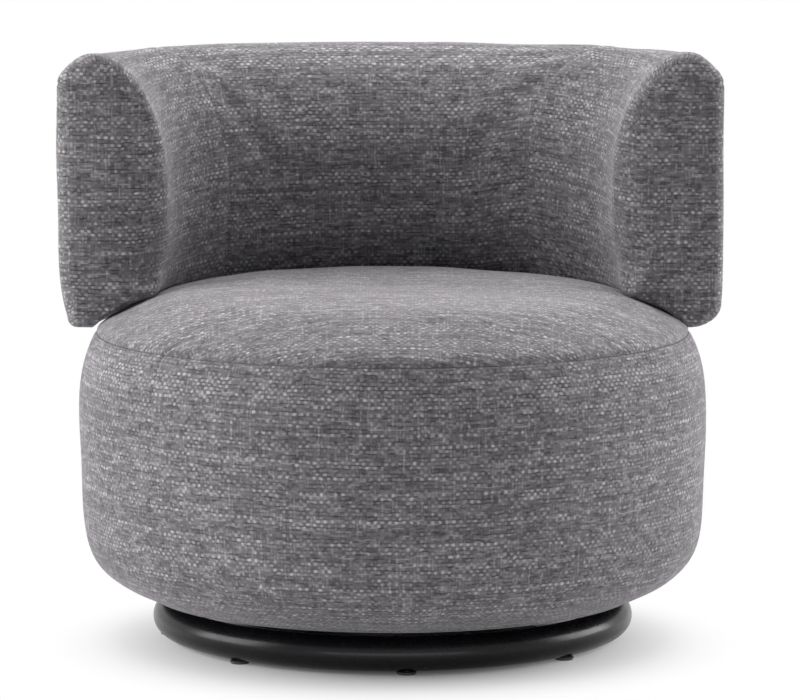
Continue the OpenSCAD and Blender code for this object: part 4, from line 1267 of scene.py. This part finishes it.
# Floor
FADE_FROM = 0.165
FADE_TO = 0.41
FADE_FORWARD = 0.055
FLOOR_HALF = 30.0


def seen_share(tree):
    """1 for a ray that sees the ground directly, in a gloss or through glass, and 0 for the rest."""
    ray = tree.nodes.new("ShaderNodeLightPath").outputs
    share = ray["Is Camera Ray"]
    for kind in ("Is Glossy Ray", "Is Transmission Ray"):
        most = tree.nodes.new("ShaderNodeMath")
        most.operation = "MAXIMUM"
        tree.links.new(share, most.inputs[0])
        tree.links.new(ray[kind], most.inputs[1])
        share = most.outputs[0]
    return share


def show_mix(tree, *sources):
    """Ends a node tree with a mix: its share, its first and its second side."""
    both = tree.nodes.new("ShaderNodeMixShader")
    for source, socket in zip(sources, both.inputs):
        tree.links.new(source, socket)
    out = next(n for n in tree.nodes if n.type.startswith("OUTPUT"))
    tree.links.new(both.outputs[0], out.inputs["Surface"])


def floor_material():
    """Pale matt floor that keeps the chair's shadow, and fades to the white ground further out."""
    s = Shader("pale_floor")
    x, y, _ = s.split(s.place())
    from_middle = s.reach(x, s.plus(y, FADE_FORWARD))
    s.set(Base_Color=(0.80, 0.80, 0.80), Roughness=1.0, Specular_IOR_Level=0.0)
    share = s.times(s.ramp(from_middle, FADE_FROM, FADE_TO, smooth=True), seen_share(s.tree))
    white = s.node("Emission", Color=(1.0, 1.0, 1.0, 1.0), Strength=1.0)
    show_mix(s.tree, share, s.main.outputs[0], white.outputs[0])
    return s.material


def floor():
    half = FLOOR_HALF
    corners = np.array([(-half, -half, 0), (half, -half, 0), (half, half, 0), (-half, half, 0)])
    made = new_mesh("floor", corners, [(0, 1, 2, 3)], smooth=False)
    made.data.materials.append(floor_material())
    made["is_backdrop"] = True


floor()


# Light
def area_light(name, place, aim, size, power):
    data = bpy.data.lights.new(name, "AREA")
    data.shape = "RECTANGLE"
    data.size, data.size_y = size
    data.energy = power
    made = bpy.data.objects.new(name, data)
    made.location = place
    made.rotation_euler = (Vector(aim) - Vector(place)).to_track_quat("-Z", "Y").to_euler()
    bpy.context.scene.collection.objects.link(made)


# Name, place, aim, size and power
LIGHTS = (
    ("top_light", (0, 0.55, 2.6), (0, 0.1, 0.3), (2.6, 2.2), 71),
    ("left_light", (-2.6, -0.3, 1.1), (0, 0, 0.4), (1.8, 1.8), 66),
    ("right_light", (2.6, 0.6, 1.1), (0, 0, 0.4), (1.8, 1.8), 64),
    ("front_light", (0, -3.0, 0.26), (0, 0, 0.30), (4.0, 0.5), 17),
)
for light in LIGHTS:
    area_light(*light)


def pale_world():
    """Pale where it is seen or mirrored, and no light from it."""
    world = bpy.data.worlds.new("studio")
    bpy.context.scene.world = world
    world.use_nodes = True
    tree = world.node_tree
    dark = tree.nodes["Background"]
    dark.inputs["Strength"].default_value = 0.0
    pale = tree.nodes.new("ShaderNodeBackground")
    show_mix(tree, seen_share(tree), dark.outputs[0], pale.outputs[0])


pale_world()
bpy.context.scene.view_settings.view_transform = "Standard"


def corners(pair):
    return [[round(value, 5) for value in corner] for corner in pair]


{"cad": corners((cad_low, cad_high)), "visual": corners(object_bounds())}
